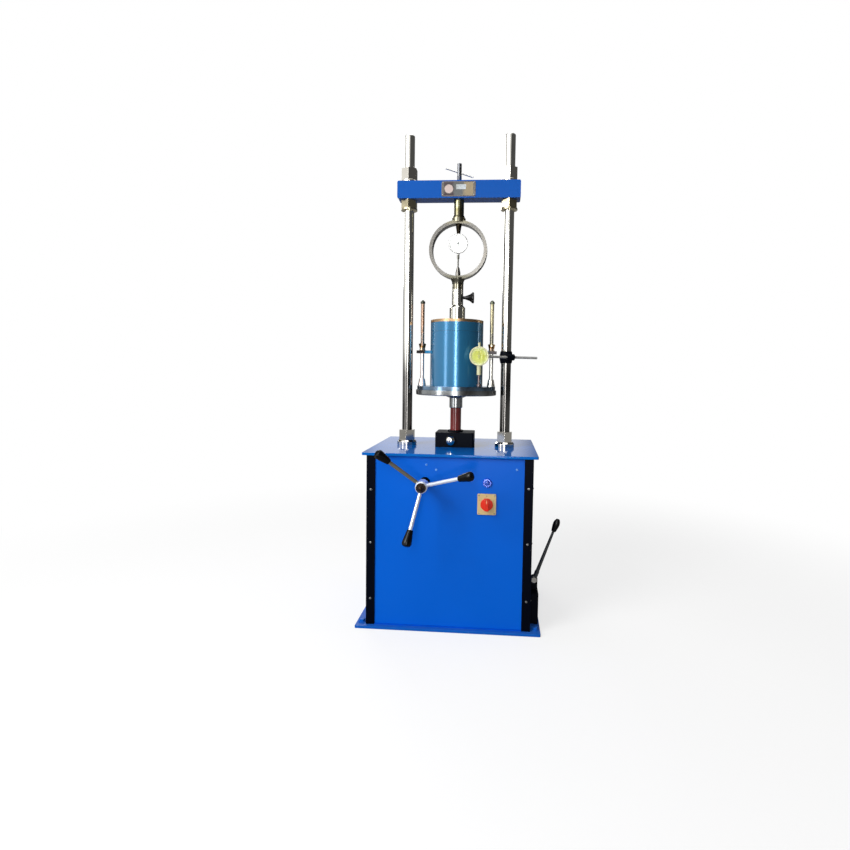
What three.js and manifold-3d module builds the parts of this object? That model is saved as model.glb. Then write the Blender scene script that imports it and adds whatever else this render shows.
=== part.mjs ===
// A motorised soil bearing load frame: a floor cabinet with a worm driven ram, two columns,
// a crosshead with a proving ring and plunger, and a mould clamped on the ram's platen.
//
// Sizes are in millimetres. X runs to the right, Y to the back and Z up. The origin is the
// middle of the base plate's underside.

import * as THREE from 'three';
import { mergeVertices } from 'three/addons/utils/BufferGeometryUtils.js';
import Module from 'manifold-3d';

const wasm = await Module();
wasm.setup();

// Clearances
const fitGap = 0.3; // between pieces that touch or slide
const boreGap = 0.3; // on the radius of a hole round a bar
const cutOver = 2; // how far a cutting solid runs past a face

// Cabinet
const cabinetWidth = 484;
const cabinetDepth = 406;
const cabinetHeight = 504;
const baseSideRim = 30; // how far the base plate runs past the cabinet
const baseEndRim = 15;
const baseThick = 8;
const baseCorner = 4;
const postFlange = 26;
const postWall = 3;
const panelSheet = 1.5;
const topSideRim = 13;
const topEndRim = 7;
const topThick = 8;
const topCorner = 4;

// Columns and crosshead
const columnRadius = 16;
const columnSpacing = 316;
const columnTop = 1496;
const columnBelow = 34; // how far a column runs below the top plate
const columnShoulder = 24;
const columnShoulderHeight = 14;
const columnChamfer = 2;
const nutFlats = 46;
const nutHeight = 26;
const upperNutHeight = 36;
const footFlangeRadius = 31;
const footFlangeHeight = 16;
const footNutHeight = 33;
const crossheadWidth = 385;
const crossheadDepth = 52;
const crossheadHeight = 54;
const crossheadMiddle = 1324;
const crossheadCorner = 5;
const lockRingRadius = 26;
const lockRingHeight = 6;

// Spindle through the crosshead, with its bar
const spindleNeck = 7;
const spindleRise = 58;
const tommyRadius = 3;
const tommyLength = 92;
const tommyHeight = 31;
const tommyTilt = 18;
const spindleBody = 16;
const spindleLength = 57; // from the crosshead down to the ring
const spindleFlange = 19;
const spindleFlangeHeight = 10;

// Proving ring and its dial gauge
const ringOuter = 91.7;
const ringBand = 10.5;
const ringWidth = 32;
const ringBossRadius = 22;
const ringBossRise = 7;
const ringBossDrop = 14;
const ringBossTip = 18.5;
const ringGaugeRadius = 30;
const ringGaugeDepth = 22;
const ringGaugeRise = 20; // its centre above the ring's centre
const gaugeBezel = 3.5;
const gaugeRecess = 3;
const gaugeHolderTop = 10;
const gaugeHolderFoot = 5;
const ringGaugeStem = 4;
const ringGaugeTip = 2.5;
const ringGaugeStemLength = 16;
const anvilRadius = 8;
const anvilTip = 4.5;
const anvilHeight = 28;
const needleWidth = 1.8;
const needleThick = 0.8;
const needleTail = 8;
const needleMargin = 6; // from the needle's tip to the bezel's inside
const needleHub = 2.6;
const needleLift = 0.8;

// Plunger
const holderRadius = 18;
const holderLength = 66;
const plungerRadius = 24.8;
const plungerLength = 76;
const plungerShank = 10;
const plungerShankLength = 44;
const plungerShoulder = 8;
const lockKnobDrop = 42; // its axis below the top of the holder
const lockKnobNarrow = 5;
const lockKnobWide = 17.5;
const lockKnobLength = 28;
const lockKnobNeck = 6;
const lockStudRadius = 3;
const fluteCount = 6;
const fluteRadius = 4;

// Ram, platen and mould
const ramRadius = 17.5;
const ramScrewRadius = 14;
const ramFoot = 310;
const platenTop = 700;
const platenRadius = 128.5;
const platenThick = 16;
const platenHubRadius = 21;
const platenHubHeight = 42;
const platenConeRadius = 44;
const platenConeHeight = 10;
const platenSocket = 12;
const mouldBaseRadius = 125;
const mouldBaseThick = 12;
const mouldOuter = 84;
const mouldBore = 75;
const mouldHeight = 175;
const collarHeight = 33;
const collarRebate = 3.5;
const collarLip = 4;
const lugReach = 44;
const lugWidth = 26;
const lugThick = 9;
const lugMiddle = 108; // above the mould base
const stayRadius = 6;
const stayOffset = 111;
const stayRise = 262;
const stayCapRadius = 7.5;
const stayCapHeight = 11;
const stayFootRadius = 13;
const stayFootNeck = 9;
const stayFootHeight = 22;
const wingNutRadius = 9;
const wingNutHeight = 15;
const wingSpan = 15;
const wingThick = 4.5;
const wingTurn = 35;

// Guide block on the top plate
const guideWidth = 121;
const guideDepth = 100;
const guideHeight = 46;
const guideCorner = 5;
const guideCollarRadius = 25;
const guideCollarHeight = 5;
const plugRadius = 16;
const plugDepth = 14;
const plugOffset = -11;
const plugHeight = 22;

// Worm drive
const gearModule = 3;
const wheelTeeth = 34;
const wormPitchRadius = 19;
const toothClearance = 0.75;
const toothSlack = 0.36; // taken off each side of a tooth at the pitch line
const pressureAngle = 20;
const wheelFace = 22;
const wheelHubRadius = 30;
const wormTurns = 5;
const wormTaper = 6;
const shaftRadius = 10;
const shaftRoom = 17; // from the wide pulley to the top plate
const shaftFront = -262;
const shaftRear = 166;
const shaftHole = 15;
const caseWall = 10;
const caseRoom = 7; // between the wheel and the case
const caseBottomDrop = 31; // from the shaft's axis to the case's floor
const bearingOuter = 20;
const bearingWidth = 10;

// Handwheel
const wheelHub = 17;
const wheelHubLength = 48;
const wheelHubNose = 5;
const armNames = ['right', 'upper', 'lower'];
const armFirst = 18; // degrees from the X axis
const armRadius = 5.5;
const armLength = 137;
const armLean = 26; // degrees towards the front
const gripNarrow = 8.5;
const gripWide = 13.5;
const gripLength = 45;
const gripOverlap = 12;

// Belt drive, gearbox and motor
const pulleyWide = 50;
const pulleySmall = 25;
const pulleyFlange = 8;
const pulleyWidth = 20;
const beltWidth = 12;
const beltThick = 6;
const beltMiddle = 152;
const outputInset = 118; // from the gearbox's right side
const outputHeight = 62;
const outputRadius = 9;
const gearboxWidth = 152;
const gearboxDepth = 130;
const gearboxHeight = 90;
const gearboxOut = 26; // how far it comes out of the cabinet
const gearboxMiddle = -85;
const gearboxCorner = 4;
const cutoutGap = 2;
const motorRadius = 58;
const motorLength = 190;
const motorAxis = 72;
const motorFootWidth = 110;
const motorFootHeight = 14;
const motorBoxSize = 46;
const motorBoxRise = 14;
const motorShaft = 11;
const motorShaftLength = 20;

// Gear lever
const leverOut = 14; // from the cabinet to the lever
const leverY = -110;
const leverZ = 130;
const leverLean = 20;
const leverEye = 10;
const leverEyeThick = 9;
const leverRadius = 3.8;
const leverThick = 5.8; // its radius beyond the ear
const leverLength = 174;
const leverCollar = 7;
const leverCollarLength = 16;
const leverKnobRadius = 10.5;
const leverKnobLength = 40;
const leverGrip = 14; // how much of the lever is in the knob
const earWidth = 22;
const earThick = 9;
const boltRadius = 4;
const boltHead = 8.5;
const boltHeadHeight = 5;

// Switch, lamp and power inlet
const switchX = 109.5;
const switchZ = 378;
const switchWidth = 54;
const switchHeight = 61;
const switchThick = 4;
const switchCorner = 3;
const switchBody = 20;
const switchBodyDepth = 40;
const knobRadius = 18;
const knobBase = 6;
const knobGrip = 11;
const knobRise = 18;
const lampX = 110;
const lampZ = 440;
const lampBezel = 13;
const lampBezelHeight = 5;
const lampRadius = 9.5;
const lampDome = 5;
const lampBody = 24;
const inletX = -150;
const inletZ = 90;
const inletWidth = 50;
const inletHeight = 30;
const inletRim = 3;
const inletDepth = 20;
const inletWall = 3;

// Penetration dial gauge, its rod and the clamp on the right column
const dialX = 76;
const dialY = -88;
const dialZ = 806;
const dialRadius = 29;
const dialDepth = 20;
const dialStem = 7;
const dialStemLength = 28;
const dialCap = 4;
const dialCapHeight = 12;
const dialLugWidth = 18;
const dialLugDepth = 18;
const dialLugHeight = 14;
const spindleRadius = 3.5;
const spindleFoot = 7;
const spindleFootHeight = 9;
const spindleGrip = 12; // how much of it is in the stem
const spindleTravel = 25;
const rodRadius = 4;
const rodOffset = 26; // from the column's axis to the rod's
const rodTail = 98;
const clampMiddle = 22;
const clampEnd = 18;
const clampHeight = 38;
const rodBoss = 10;
const rodBossLength = 26;

// Places that follow from the sizes above
const baseWidth = cabinetWidth + 2 * baseSideRim;
const baseDepth = cabinetDepth + 2 * baseEndRim;
const topWidth = cabinetWidth + 2 * topSideRim;
const topDepth = cabinetDepth + 2 * topEndRim;
const gearboxRight = cabinetWidth / 2 + gearboxOut;
const outputX = gearboxRight - outputInset;
const leverX = cabinetWidth / 2 + leverOut;
const topUnder = baseThick + cabinetHeight;
const topFace = topUnder + topThick;
const shaftHeight = topUnder - shaftRoom - pulleyWide - pulleyFlange;
const columnX = columnSpacing / 2;
const panelX = cabinetWidth / 2 - postWall;
const panelY = cabinetDepth / 2 - postWall;
const crossheadTop = crossheadHeight / 2;
const crossheadUnder = -crossheadHeight / 2;
const ringTop = crossheadUnder - spindleLength - fitGap;
const ringMiddle = ringTop - ringBossRise - ringOuter;
const ringInner = ringOuter - ringBand;
const ringFoot = ringMiddle - ringOuter - ringBossDrop;
const mouldFloor = platenTop + mouldBaseThick;
const wheelPitch = gearModule * wheelTeeth / 2;
const shaftX = -(wheelPitch + wormPitchRadius);
const wormLead = Math.PI * gearModule;
const plungerTop = ringFoot - holderLength - fitGap;
const gearboxBack = gearboxMiddle + gearboxDepth / 2;
const panelFront = -panelY;
const panelLow = baseThick + postWall + fitGap;
const panelHigh = topUnder - postWall - fitGap;
const caseFloor = shaftHeight - caseBottomDrop;
const caseSide = wheelPitch + gearModule + caseRoom + caseWall;
const nutTall = lockRingHeight + nutHeight;
const ramScrewTop = topUnder - caseWall + cutOver;

// Materials
const material = (color, roughness, metalness = 0) =>
  new THREE.MeshStandardMaterial({ color, roughness, metalness });
const cabinetBlue = material(0x0a4fc4, 0.35);
const postBlack = material(0x0c0c10, 0.4);
const chrome = material(0xc9ccce, 0.15, 1);
const brightSteel = material(0xa9aba6, 0.3, 1);
const blackIron = material(0x141518, 0.5, 0.4);
const castIron = material(0x54585c, 0.7, 0.4);
const mouldBlue = material(0x1f6ea6, 0.25);
const ramRed = material(0x8c1f1a, 0.35);
const blackPlastic = material(0x101012, 0.35);
const beltRubber = material(0x1b1b1b, 0.8);
const bronze = material(0xa8743a, 0.4, 1);
const motorGrey = material(0x5d6670, 0.5, 0.2);
const switchYellow = material(0xe8c468, 0.45);
const switchRed = material(0xd8341c, 0.35);
const lampLens = material(0xd9dcff, 0.15);
const dialCream = material(0xece6b8, 0.35);
const dialSteel = material(0xd6d8d6, 0.3, 0.6);

const degrees = (angle) => THREE.MathUtils.degToRad(angle);

// Geometry as position and index only, with shared corners merged and flat slivers left out.
function plain(geometry) {
  const bare = new THREE.BufferGeometry();
  bare.setAttribute('position', geometry.getAttribute('position'));
  if (geometry.index) bare.setIndex(geometry.index);
  const merged = mergeVertices(bare, 1e-4);
  const index = merged.index.array;
  const kept = [];
  for (let i = 0; i < index.length; i += 3) {
    const [a, b, c] = [index[i], index[i + 1], index[i + 2]];
    if (a !== b && b !== c && c !== a) kept.push(a, b, c);
  }
  merged.setIndex(kept);
  return signedVolume(merged) < 0 ? flipped(merged) : merged;
}

function signedVolume(geometry) {
  const place = geometry.getAttribute('position');
  const index = geometry.index.array;
  const [a, b, c] = [new THREE.Vector3(), new THREE.Vector3(), new THREE.Vector3()];
  let sum = 0;
  for (let i = 0; i < index.length; i += 3) {
    a.fromBufferAttribute(place, index[i]);
    b.fromBufferAttribute(place, index[i + 1]);
    c.fromBufferAttribute(place, index[i + 2]);
    sum += a.dot(b.cross(c));
  }
  return sum;
}

function flipped(geometry) {
  const index = Array.from(geometry.index.array);
  for (let i = 0; i < index.length; i += 3) {
    [index[i + 1], index[i + 2]] = [index[i + 2], index[i + 1]];
  }
  geometry.setIndex(index);
  return geometry;
}

function toSolid(geometry) {
  const clean = plain(geometry);
  const vertProperties = new Float32Array(clean.getAttribute('position').array);
  const triVerts = new Uint32Array(clean.index.array);
  return new wasm.Manifold(new wasm.Mesh({ numProp: 3, vertProperties, triVerts }));
}

function toGeometry(solid) {
  const mesh = solid.getMesh();
  const geometry = new THREE.BufferGeometry();
  geometry.setAttribute('position', new THREE.BufferAttribute(mesh.vertProperties, 3));
  geometry.setIndex(new THREE.BufferAttribute(mesh.triVerts, 1));
  return geometry;
}

function join(first, ...others) {
  return toGeometry(others.reduce((sum, next) => sum.add(toSolid(next)), toSolid(first)));
}

function cut(first, ...others) {
  return toGeometry(others.reduce((sum, next) => sum.subtract(toSolid(next)), toSolid(first)));
}

// A box between two corners.
function block([x0, y0, z0], [x1, y1, z1]) {
  const box = new THREE.BoxGeometry(x1 - x0, y1 - y0, z1 - z0);
  return box.translate((x0 + x1) / 2, (y0 + y1) / 2, (z0 + z1) / 2);
}

// A body turned about the Z axis from [radius, height] points, listed from the foot up.
function turned(points, sides = 20) {
  const profile = points.map(([radius, height]) => new THREE.Vector2(radius, height));
  return plain(new THREE.LatheGeometry(profile, sides)).rotateX(Math.PI / 2);
}

function bar(radius, z0, z1, sides = 20) {
  return turned([[0, z0], [radius, z0], [radius, z1], [0, z1]], sides);
}

function tube(inner, outer, z0, z1, sides = 20) {
  return turned([[inner, z0], [outer, z0], [outer, z1], [inner, z1], [inner, z0]], sides);
}

function hexagon(flats, z0, z1) {
  return bar(flats / Math.sqrt(3), z0, z1, 6);
}

// A flat shape in X and Y, raised from z0 to z1.
function raised(shape, z0, z1, curveSegments = 4) {
  const depth = z1 - z0;
  const geometry = new THREE.ExtrudeGeometry(shape, { depth, bevelEnabled: false, curveSegments });
  return geometry.translate(0, 0, z0);
}

function roundedRectangle(width, depth, corner) {
  const [x, y] = [width / 2, depth / 2];
  const shape = new THREE.Shape();
  shape.moveTo(-x + corner, -y);
  shape.lineTo(x - corner, -y);
  shape.absarc(x - corner, -y + corner, corner, -Math.PI / 2, 0);
  shape.lineTo(x, y - corner);
  shape.absarc(x - corner, y - corner, corner, 0, Math.PI / 2);
  shape.lineTo(-x + corner, y);
  shape.absarc(-x + corner, y - corner, corner, Math.PI / 2, Math.PI);
  shape.lineTo(-x, -y + corner);
  shape.absarc(-x + corner, -y + corner, corner, Math.PI, 1.5 * Math.PI);
  return shape;
}

// Turns a body from the Z axis to the Y axis, so that what was up points to the front.
const facingFront = (geometry) => geometry.rotateX(Math.PI / 2);
// Turns a body from the Z axis to the Y axis, so that what was up points to the back.
const facingBack = (geometry) => geometry.rotateX(-Math.PI / 2);
const facingRight = (geometry) => geometry.rotateY(Math.PI / 2);

function addPart(group, name, geometry, finish) {
  const mesh = new THREE.Mesh(plain(geometry), finish);
  mesh.name = name;
  mesh.geometry.computeVertexNormals();
  group.add(mesh);
  return mesh;
}

function groupAt(x, y, z) {
  const group = new THREE.Group();
  group.position.set(x, y, z);
  return group;
}

// A welded frame: four corner angles between two flat rings.
function cabinetFrame() {
  const [x, y] = [cabinetWidth / 2, cabinetDepth / 2];
  const [innerX, innerY] = [x - postFlange, y - postFlange];
  const whole = block([-x, -y, baseThick], [x, y, topUnder]);
  const room = block([-innerX, -innerY, 0], [innerX, innerY, topUnder + cutOver]);
  const [low, high] = [baseThick + postWall, topUnder - postWall];
  const hollow = block([-x + postWall, -y + postWall, low], [x - postWall, y - postWall, high]);
  const acrossX = block([-innerX, -y - cutOver, low], [innerX, y + cutOver, high]);
  const acrossY = block([-x - cutOver, -innerY, low], [x + cutOver, innerY, high]);
  return cut(whole, room, hollow, acrossX, acrossY, gearboxCutout());
}

// The room that the gearbox takes where it comes out of the cabinet's right side.
function gearboxCutout() {
  const near = gearboxMiddle - gearboxDepth / 2 - cutoutGap;
  const far = gearboxBack + cutoutGap;
  const high = baseThick + gearboxHeight + cutoutGap;
  return block([gearboxRight - gearboxWidth, near, 0], [gearboxRight, far, high]);
}

function frontPanel() {
  const half = panelX - panelSheet - fitGap;
  const sheet = block([-half, -panelY, panelLow], [half, -panelY + panelSheet, panelHigh]);
  const [near, far] = [-panelY - cutOver, -panelY + panelSheet + cutOver];
  const hole = (radius, x, z) => facingBack(bar(radius, near, far, 20)).translate(x, 0, z);
  const reach = switchBody + fitGap;
  const switchHole = block([switchX - reach, near, switchZ - reach], [switchX + reach, far, switchZ + reach]);
  return cut(sheet, hole(shaftHole, shaftX, shaftHeight), hole(lampRadius + boreGap, lampX, lampZ), switchHole);
}

// One bent sheet closes both sides and the back.
function rearCover() {
  const [x, y] = [panelX - fitGap, panelY - fitGap];
  const sheet = block([-x, -panelY, panelLow], [x, y, panelHigh]);
  const inside = x - panelSheet;
  const room = block([-inside, -panelY - cutOver, 0], [inside, y - panelSheet, topUnder]);
  const [inletHalf, inletRise] = [inletWidth / 2 - inletRim + fitGap, inletHeight / 2 - inletRim + fitGap];
  const inletHole = block(
    [inletX - inletHalf, y - panelSheet - cutOver, inletZ - inletRise],
    [inletX + inletHalf, y + cutOver, inletZ + inletRise],
  );
  return cut(sheet, room, inletHole, gearboxCutout());
}

function topPlate() {
  const plate = raised(roundedRectangle(topWidth, topDepth, topCorner), topUnder, topFace, 3);
  const [low, high] = [topUnder - cutOver, topFace + cutOver];
  const columnHole = bar(columnRadius + boreGap, low, high);
  return cut(
    plate,
    columnHole.clone().translate(-columnX, 0, 0),
    columnHole.clone().translate(columnX, 0, 0),
    bar(ramRadius + boreGap, low, high),
  );
}

function powerInlet() {
  const [x, z] = [inletWidth / 2, inletHeight / 2];
  const back = panelY + inletRim;
  const [bodyX, bodyZ] = [x - inletRim, z - inletRim];
  const rim = block([-x, panelY, -z], [x, back, z]);
  const body = block([-bodyX, back - inletDepth, -bodyZ], [bodyX, panelY, bodyZ]);
  const [roomX, roomZ] = [bodyX - inletWall, bodyZ - inletWall];
  const room = block([-roomX, back - inletDepth + inletWall, -roomZ], [roomX, back + cutOver, roomZ]);
  const pins = [-1, 0, 1].map((place) => {
    const pin = facingBack(bar(2, back - inletDepth, back - inletRim, 8));
    return pin.translate(place * roomX / 2, 0, place === 0 ? 2 : -2);
  });
  return join(cut(join(rim, body), room), ...pins).translate(inletX, 0, inletZ);
}

function addCabinet(object) {
  const base = raised(roundedRectangle(baseWidth, baseDepth, baseCorner), 0, baseThick, 3);
  addPart(object, 'base_plate', base, cabinetBlue);
  addPart(object, 'cabinet_frame', cabinetFrame(), postBlack);
  addPart(object, 'front_panel', frontPanel(), cabinetBlue);
  addPart(object, 'rear_cover', rearCover(), cabinetBlue);
  addPart(object, 'top_plate', topPlate(), cabinetBlue);
  addPart(object, 'power_inlet', powerInlet(), blackPlastic);
}

// A column is put in from below: its shoulder bears on the underside of the top plate.
function column() {
  const low = topUnder - columnBelow;
  const shoulder = topUnder - fitGap;
  const points = [
    [0, low],
    [columnRadius - columnChamfer, low],
    [columnRadius, low + columnChamfer],
    [columnRadius, shoulder - columnShoulderHeight],
    [columnShoulder, shoulder - columnShoulderHeight],
    [columnShoulder, shoulder],
    [columnRadius, shoulder],
    [columnRadius, columnTop - columnChamfer],
    [columnRadius - columnChamfer, columnTop],
    [0, columnTop],
  ];
  return turned(points, 24);
}

// A hexagon nut with a round flange under it, standing on z 0.
function flangedNut(flange, flangeHeight, bevel, height) {
  const foot = turned([
    [0, 0],
    [flange, 0],
    [flange, flangeHeight - bevel],
    [flange - bevel, flangeHeight],
    [0, flangeHeight],
  ]);
  const body = join(foot, hexagon(nutFlats, flangeHeight - 1, height));
  return cut(body, bar(columnRadius + boreGap, -cutOver, height + cutOver));
}

function addColumns(object) {
  for (const [side, x] of [['left', -columnX], ['right', columnX]]) {
    addPart(object, `${side}_column`, column(), chrome).position.x = x;
    const nut = flangedNut(footFlangeRadius, footFlangeHeight, 5, footFlangeHeight + footNutHeight);
    addPart(object, `${side}_foot_nut`, nut, chrome).position.set(x, 0, topFace);
  }
}

function crosshead() {
  const shape = roundedRectangle(crossheadWidth, crossheadHeight, crossheadCorner);
  const half = crossheadDepth / 2;
  const beam = facingFront(raised(shape, -half, half, 3));
  const [low, high] = [crossheadUnder - cutOver, crossheadTop + cutOver];
  const columnHole = bar(columnRadius + boreGap, low, high);
  return cut(
    beam,
    columnHole.clone().translate(-columnX, 0, 0),
    columnHole.clone().translate(columnX, 0, 0),
    bar(spindleNeck + boreGap, low, high),
  );
}

// A bar along X that dips to the right.
function tommyBar(radius, length) {
  const shape = bar(radius, -length / 2, length / 2, 12);
  return facingRight(shape).rotateY(degrees(tommyTilt));
}

// The spindle goes up through the crosshead and carries the ring on its flange.
function ringSpindle() {
  const low = ringTop + fitGap;
  const shoulder = crossheadUnder - fitGap;
  const high = crossheadTop + spindleRise;
  const body = turned([
    [0, low],
    [spindleFlange, low],
    [spindleFlange, low + spindleFlangeHeight / 2],
    [spindleBody, low + spindleFlangeHeight],
    [spindleBody, shoulder],
    [spindleNeck, shoulder],
    [spindleNeck, high],
    [0, high],
  ]);
  const hole = tommyBar(tommyRadius + boreGap, spindleNeck * 4);
  return cut(body, hole.translate(0, 0, crossheadTop + tommyHeight));
}

function provingRing() {
  const shape = new THREE.Shape();
  shape.absarc(0, 0, ringOuter, 0, 2 * Math.PI);
  const hole = new THREE.Path();
  hole.absarc(0, 0, ringInner, 0, 2 * Math.PI, true);
  shape.holes.push(hole);
  const half = ringWidth / 2;
  const band = facingFront(raised(shape, -half, half, 24));
  const inside = ringInner + ringBand / 2;
  const upper = bar(ringBossRadius, inside, ringOuter + ringBossRise);
  const lower = turned([
    [0, -ringOuter - ringBossDrop],
    [ringBossTip, -ringOuter - ringBossDrop],
    [ringBossTip, -ringOuter - ringBossDrop / 2],
    [ringBossRadius, -ringOuter],
    [ringBossRadius, -inside],
    [0, -inside],
  ]);
  const anvil = turned([
    [0, -inside],
    [anvilRadius, -inside],
    [anvilRadius, -ringInner + anvilHeight * 0.4],
    [anvilTip, -ringInner + anvilHeight],
    [0, -ringInner + anvilHeight],
  ], 16);
  return join(band, upper, lower, anvil).translate(0, 0, ringMiddle);
}

// A dial gauge's case, facing the front, with its centre at the origin.
function gaugeCase(radius, depth) {
  const rim = radius - gaugeBezel;
  return facingFront(turned([
    [0, -depth / 2],
    [radius - 3, -depth / 2],
    [radius - 1, depth / 2 - 7],
    [radius, depth / 2 - 6],
    [radius, depth / 2 - 1],
    [radius - 1, depth / 2],
    [rim, depth / 2],
    [rim, depth / 2 - gaugeRecess],
    [0, depth / 2 - gaugeRecess],
  ], 24));
}

// A needle that points up from the origin, in front of a dial at that depth.
function gaugeNeedle(radius, depth) {
  const length = radius - gaugeBezel - needleMargin;
  const front = -depth / 2 + gaugeRecess;
  const near = front - needleLift - needleThick;
  const half = needleWidth / 2;
  const shape = new THREE.Shape();
  shape.moveTo(-half, -needleTail);
  shape.lineTo(half, -needleTail);
  shape.lineTo(half * 0.3, length);
  shape.lineTo(-half * 0.3, length);
  const blade = facingFront(raised(shape, -near - needleThick, -near));
  const hub = facingFront(bar(needleHub, -front + fitGap, -near + 0.4, 10));
  return join(blade, hub);
}

function ringGauge() {
  const z = ringMiddle + ringGaugeRise;
  const high = ringMiddle + ringInner - fitGap - (ringInner - Math.sqrt(ringInner ** 2 - gaugeHolderTop ** 2));
  const holder = turned([
    [0, z],
    [gaugeHolderFoot, z],
    [gaugeHolderFoot, z + ringGaugeRadius],
    [gaugeHolderTop, high],
    [0, high],
  ], 16);
  const tip = ringMiddle - ringInner + anvilHeight + 2 * fitGap;
  const stemFoot = z - ringGaugeRadius - ringGaugeStemLength;
  const stem = turned([
    [0, tip],
    [ringGaugeTip, tip],
    [ringGaugeTip, stemFoot],
    [ringGaugeStem, stemFoot],
    [ringGaugeStem, z],
    [0, z],
  ], 12);
  return join(gaugeCase(ringGaugeRadius, ringGaugeDepth).translate(0, 0, z), holder, stem);
}

function plungerHolder() {
  const low = ringFoot - holderLength;
  const body = bar(holderRadius, low, ringFoot - fitGap);
  const bore = bar(plungerShank + boreGap, low - cutOver, plungerTop + plungerShankLength + fitGap, 20);
  const knobHole = facingRight(bar(lockStudRadius + boreGap, plungerShank - 1, holderRadius + cutOver, 12));
  return cut(body, bore, knobHole.translate(0, 0, ringFoot - lockKnobDrop));
}

function plunger() {
  const low = plungerTop - plungerLength;
  return turned([
    [0, low],
    [plungerRadius, low],
    [plungerRadius, plungerTop - plungerShoulder],
    [holderRadius, plungerTop],
    [plungerShank, plungerTop],
    [plungerShank, plungerTop + plungerShankLength],
    [0, plungerTop + plungerShankLength],
  ], 24);
}

// The knob that locks the plunger in its holder, along X from the plunger's axis.
function plungerKnob() {
  const start = holderRadius + fitGap;
  const end = start + lockKnobNeck + lockKnobLength;
  const body = turned([
    [0, plungerShank + fitGap + boreGap],
    [lockStudRadius, plungerShank + fitGap + boreGap],
    [lockStudRadius, start],
    [lockKnobNarrow, start],
    [lockKnobNarrow, start + lockKnobNeck],
    [lockKnobWide * 0.62, start + lockKnobNeck + lockKnobLength * 0.55],
    [lockKnobWide, end - 5],
    [lockKnobWide, end - 1.5],
    [lockKnobWide - 1.5, end],
    [0, end],
  ], 24);
  const flutes = [];
  for (let i = 0; i < fluteCount; i += 1) {
    const flute = bar(fluteRadius, start + lockKnobNeck, end + cutOver, 10);
    flutes.push(flute.translate(lockKnobWide + fluteRadius / 2, 0, 0).rotateZ(i * 2 * Math.PI / fluteCount));
  }
  return facingRight(cut(body, ...flutes));
}

function addCrosshead(object) {
  const group = groupAt(0, 0, crossheadMiddle);
  addPart(group, 'crosshead', crosshead(), cabinetBlue);
  for (const [side, x] of [['left', -columnX], ['right', columnX]]) {
    for (const [level, z, tall] of [
      ['upper', crossheadTop, lockRingHeight + upperNutHeight],
      ['lower', crossheadUnder - nutTall, nutTall],
    ]) {
      const nut = flangedNut(lockRingRadius, lockRingHeight, 1, tall);
      addPart(group, `${side}_${level}_nut`, nut, chrome).position.set(x, 0, z);
    }
  }
  addPart(group, 'ring_spindle', ringSpindle(), brightSteel);
  addPart(group, 'tommy_bar', tommyBar(tommyRadius, tommyLength), chrome)
    .position.z = crossheadTop + tommyHeight;
  addPart(group, 'proving_ring', provingRing(), brightSteel);
  addPart(group, 'ring_gauge', ringGauge(), dialSteel);
  addPart(group, 'ring_gauge_needle', gaugeNeedle(ringGaugeRadius, ringGaugeDepth), blackPlastic)
    .position.z = ringMiddle + ringGaugeRise;
  addPart(group, 'plunger_holder', plungerHolder(), chrome);
  addPart(group, 'plunger', plunger(), chrome);
  addPart(group, 'plunger_knob', plungerKnob(), blackPlastic).position.z = ringFoot - lockKnobDrop;
  object.add(group);
}

function ram() {
  const top = platenTop - platenThick - platenHubHeight + platenSocket;
  return turned([
    [0, ramFoot],
    [ramScrewRadius - 2, ramFoot],
    [ramScrewRadius, ramFoot + 2],
    [ramScrewRadius, ramScrewTop],
    [ramRadius, ramScrewTop],
    [ramRadius, top],
    [0, top],
  ], 24);
}

function platen() {
  const under = platenTop - platenThick;
  const foot = under - platenHubHeight;
  const body = turned([
    [0, foot],
    [platenHubRadius - 2, foot],
    [platenHubRadius, foot + 2],
    [platenHubRadius, under - platenConeHeight],
    [platenConeRadius, under],
    [platenRadius - 2, under],
    [platenRadius, under + 2],
    [platenRadius, platenTop],
    [0, platenTop],
  ], 36);
  return cut(body, bar(ramRadius + boreGap, foot - cutOver, foot + platenSocket + fitGap, 24));
}

function mouldBase() {
  const plate = bar(mouldBaseRadius, platenTop, mouldFloor, 36);
  const hole = bar(stayRadius + boreGap, platenTop - cutOver, mouldFloor + cutOver, 16);
  return cut(plate, hole.clone().translate(-stayOffset, 0, 0), hole.clone().translate(stayOffset, 0, 0));
}

function mouldBody() {
  const top = mouldHeight;
  const seat = mouldBore + collarRebate;
  const shell = turned([
    [mouldBore, 0],
    [mouldOuter, 0],
    [mouldOuter, top - collarLip],
    [seat, top - collarLip],
    [seat, top],
    [mouldBore, top],
    [mouldBore, 0],
  ], 36);
  const [low, high] = [lugMiddle - lugThick / 2, lugMiddle + lugThick / 2];
  const inside = (mouldBore + mouldOuter) / 2;
  const lug = block([inside, -lugWidth / 2, low], [mouldOuter + lugReach, lugWidth / 2, high]);
  const hole = bar(stayRadius + boreGap, low - cutOver, high + cutOver, 16).translate(stayOffset, 0, 0);
  const drilled = cut(lug, hole);
  return join(shell, drilled, drilled.clone().rotateZ(Math.PI)).translate(0, 0, mouldFloor);
}

function mouldCollar() {
  const [low, high] = [mouldHeight, mouldHeight + collarHeight];
  const seat = mouldBore + collarRebate + fitGap;
  return turned([
    [seat, low - collarLip + fitGap],
    [mouldOuter, low - collarLip + fitGap],
    [mouldOuter, high],
    [mouldBore, high],
    [mouldBore, low + fitGap],
    [seat, low + fitGap],
    [seat, low - collarLip + fitGap],
  ], 36).translate(0, 0, mouldFloor);
}

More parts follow.
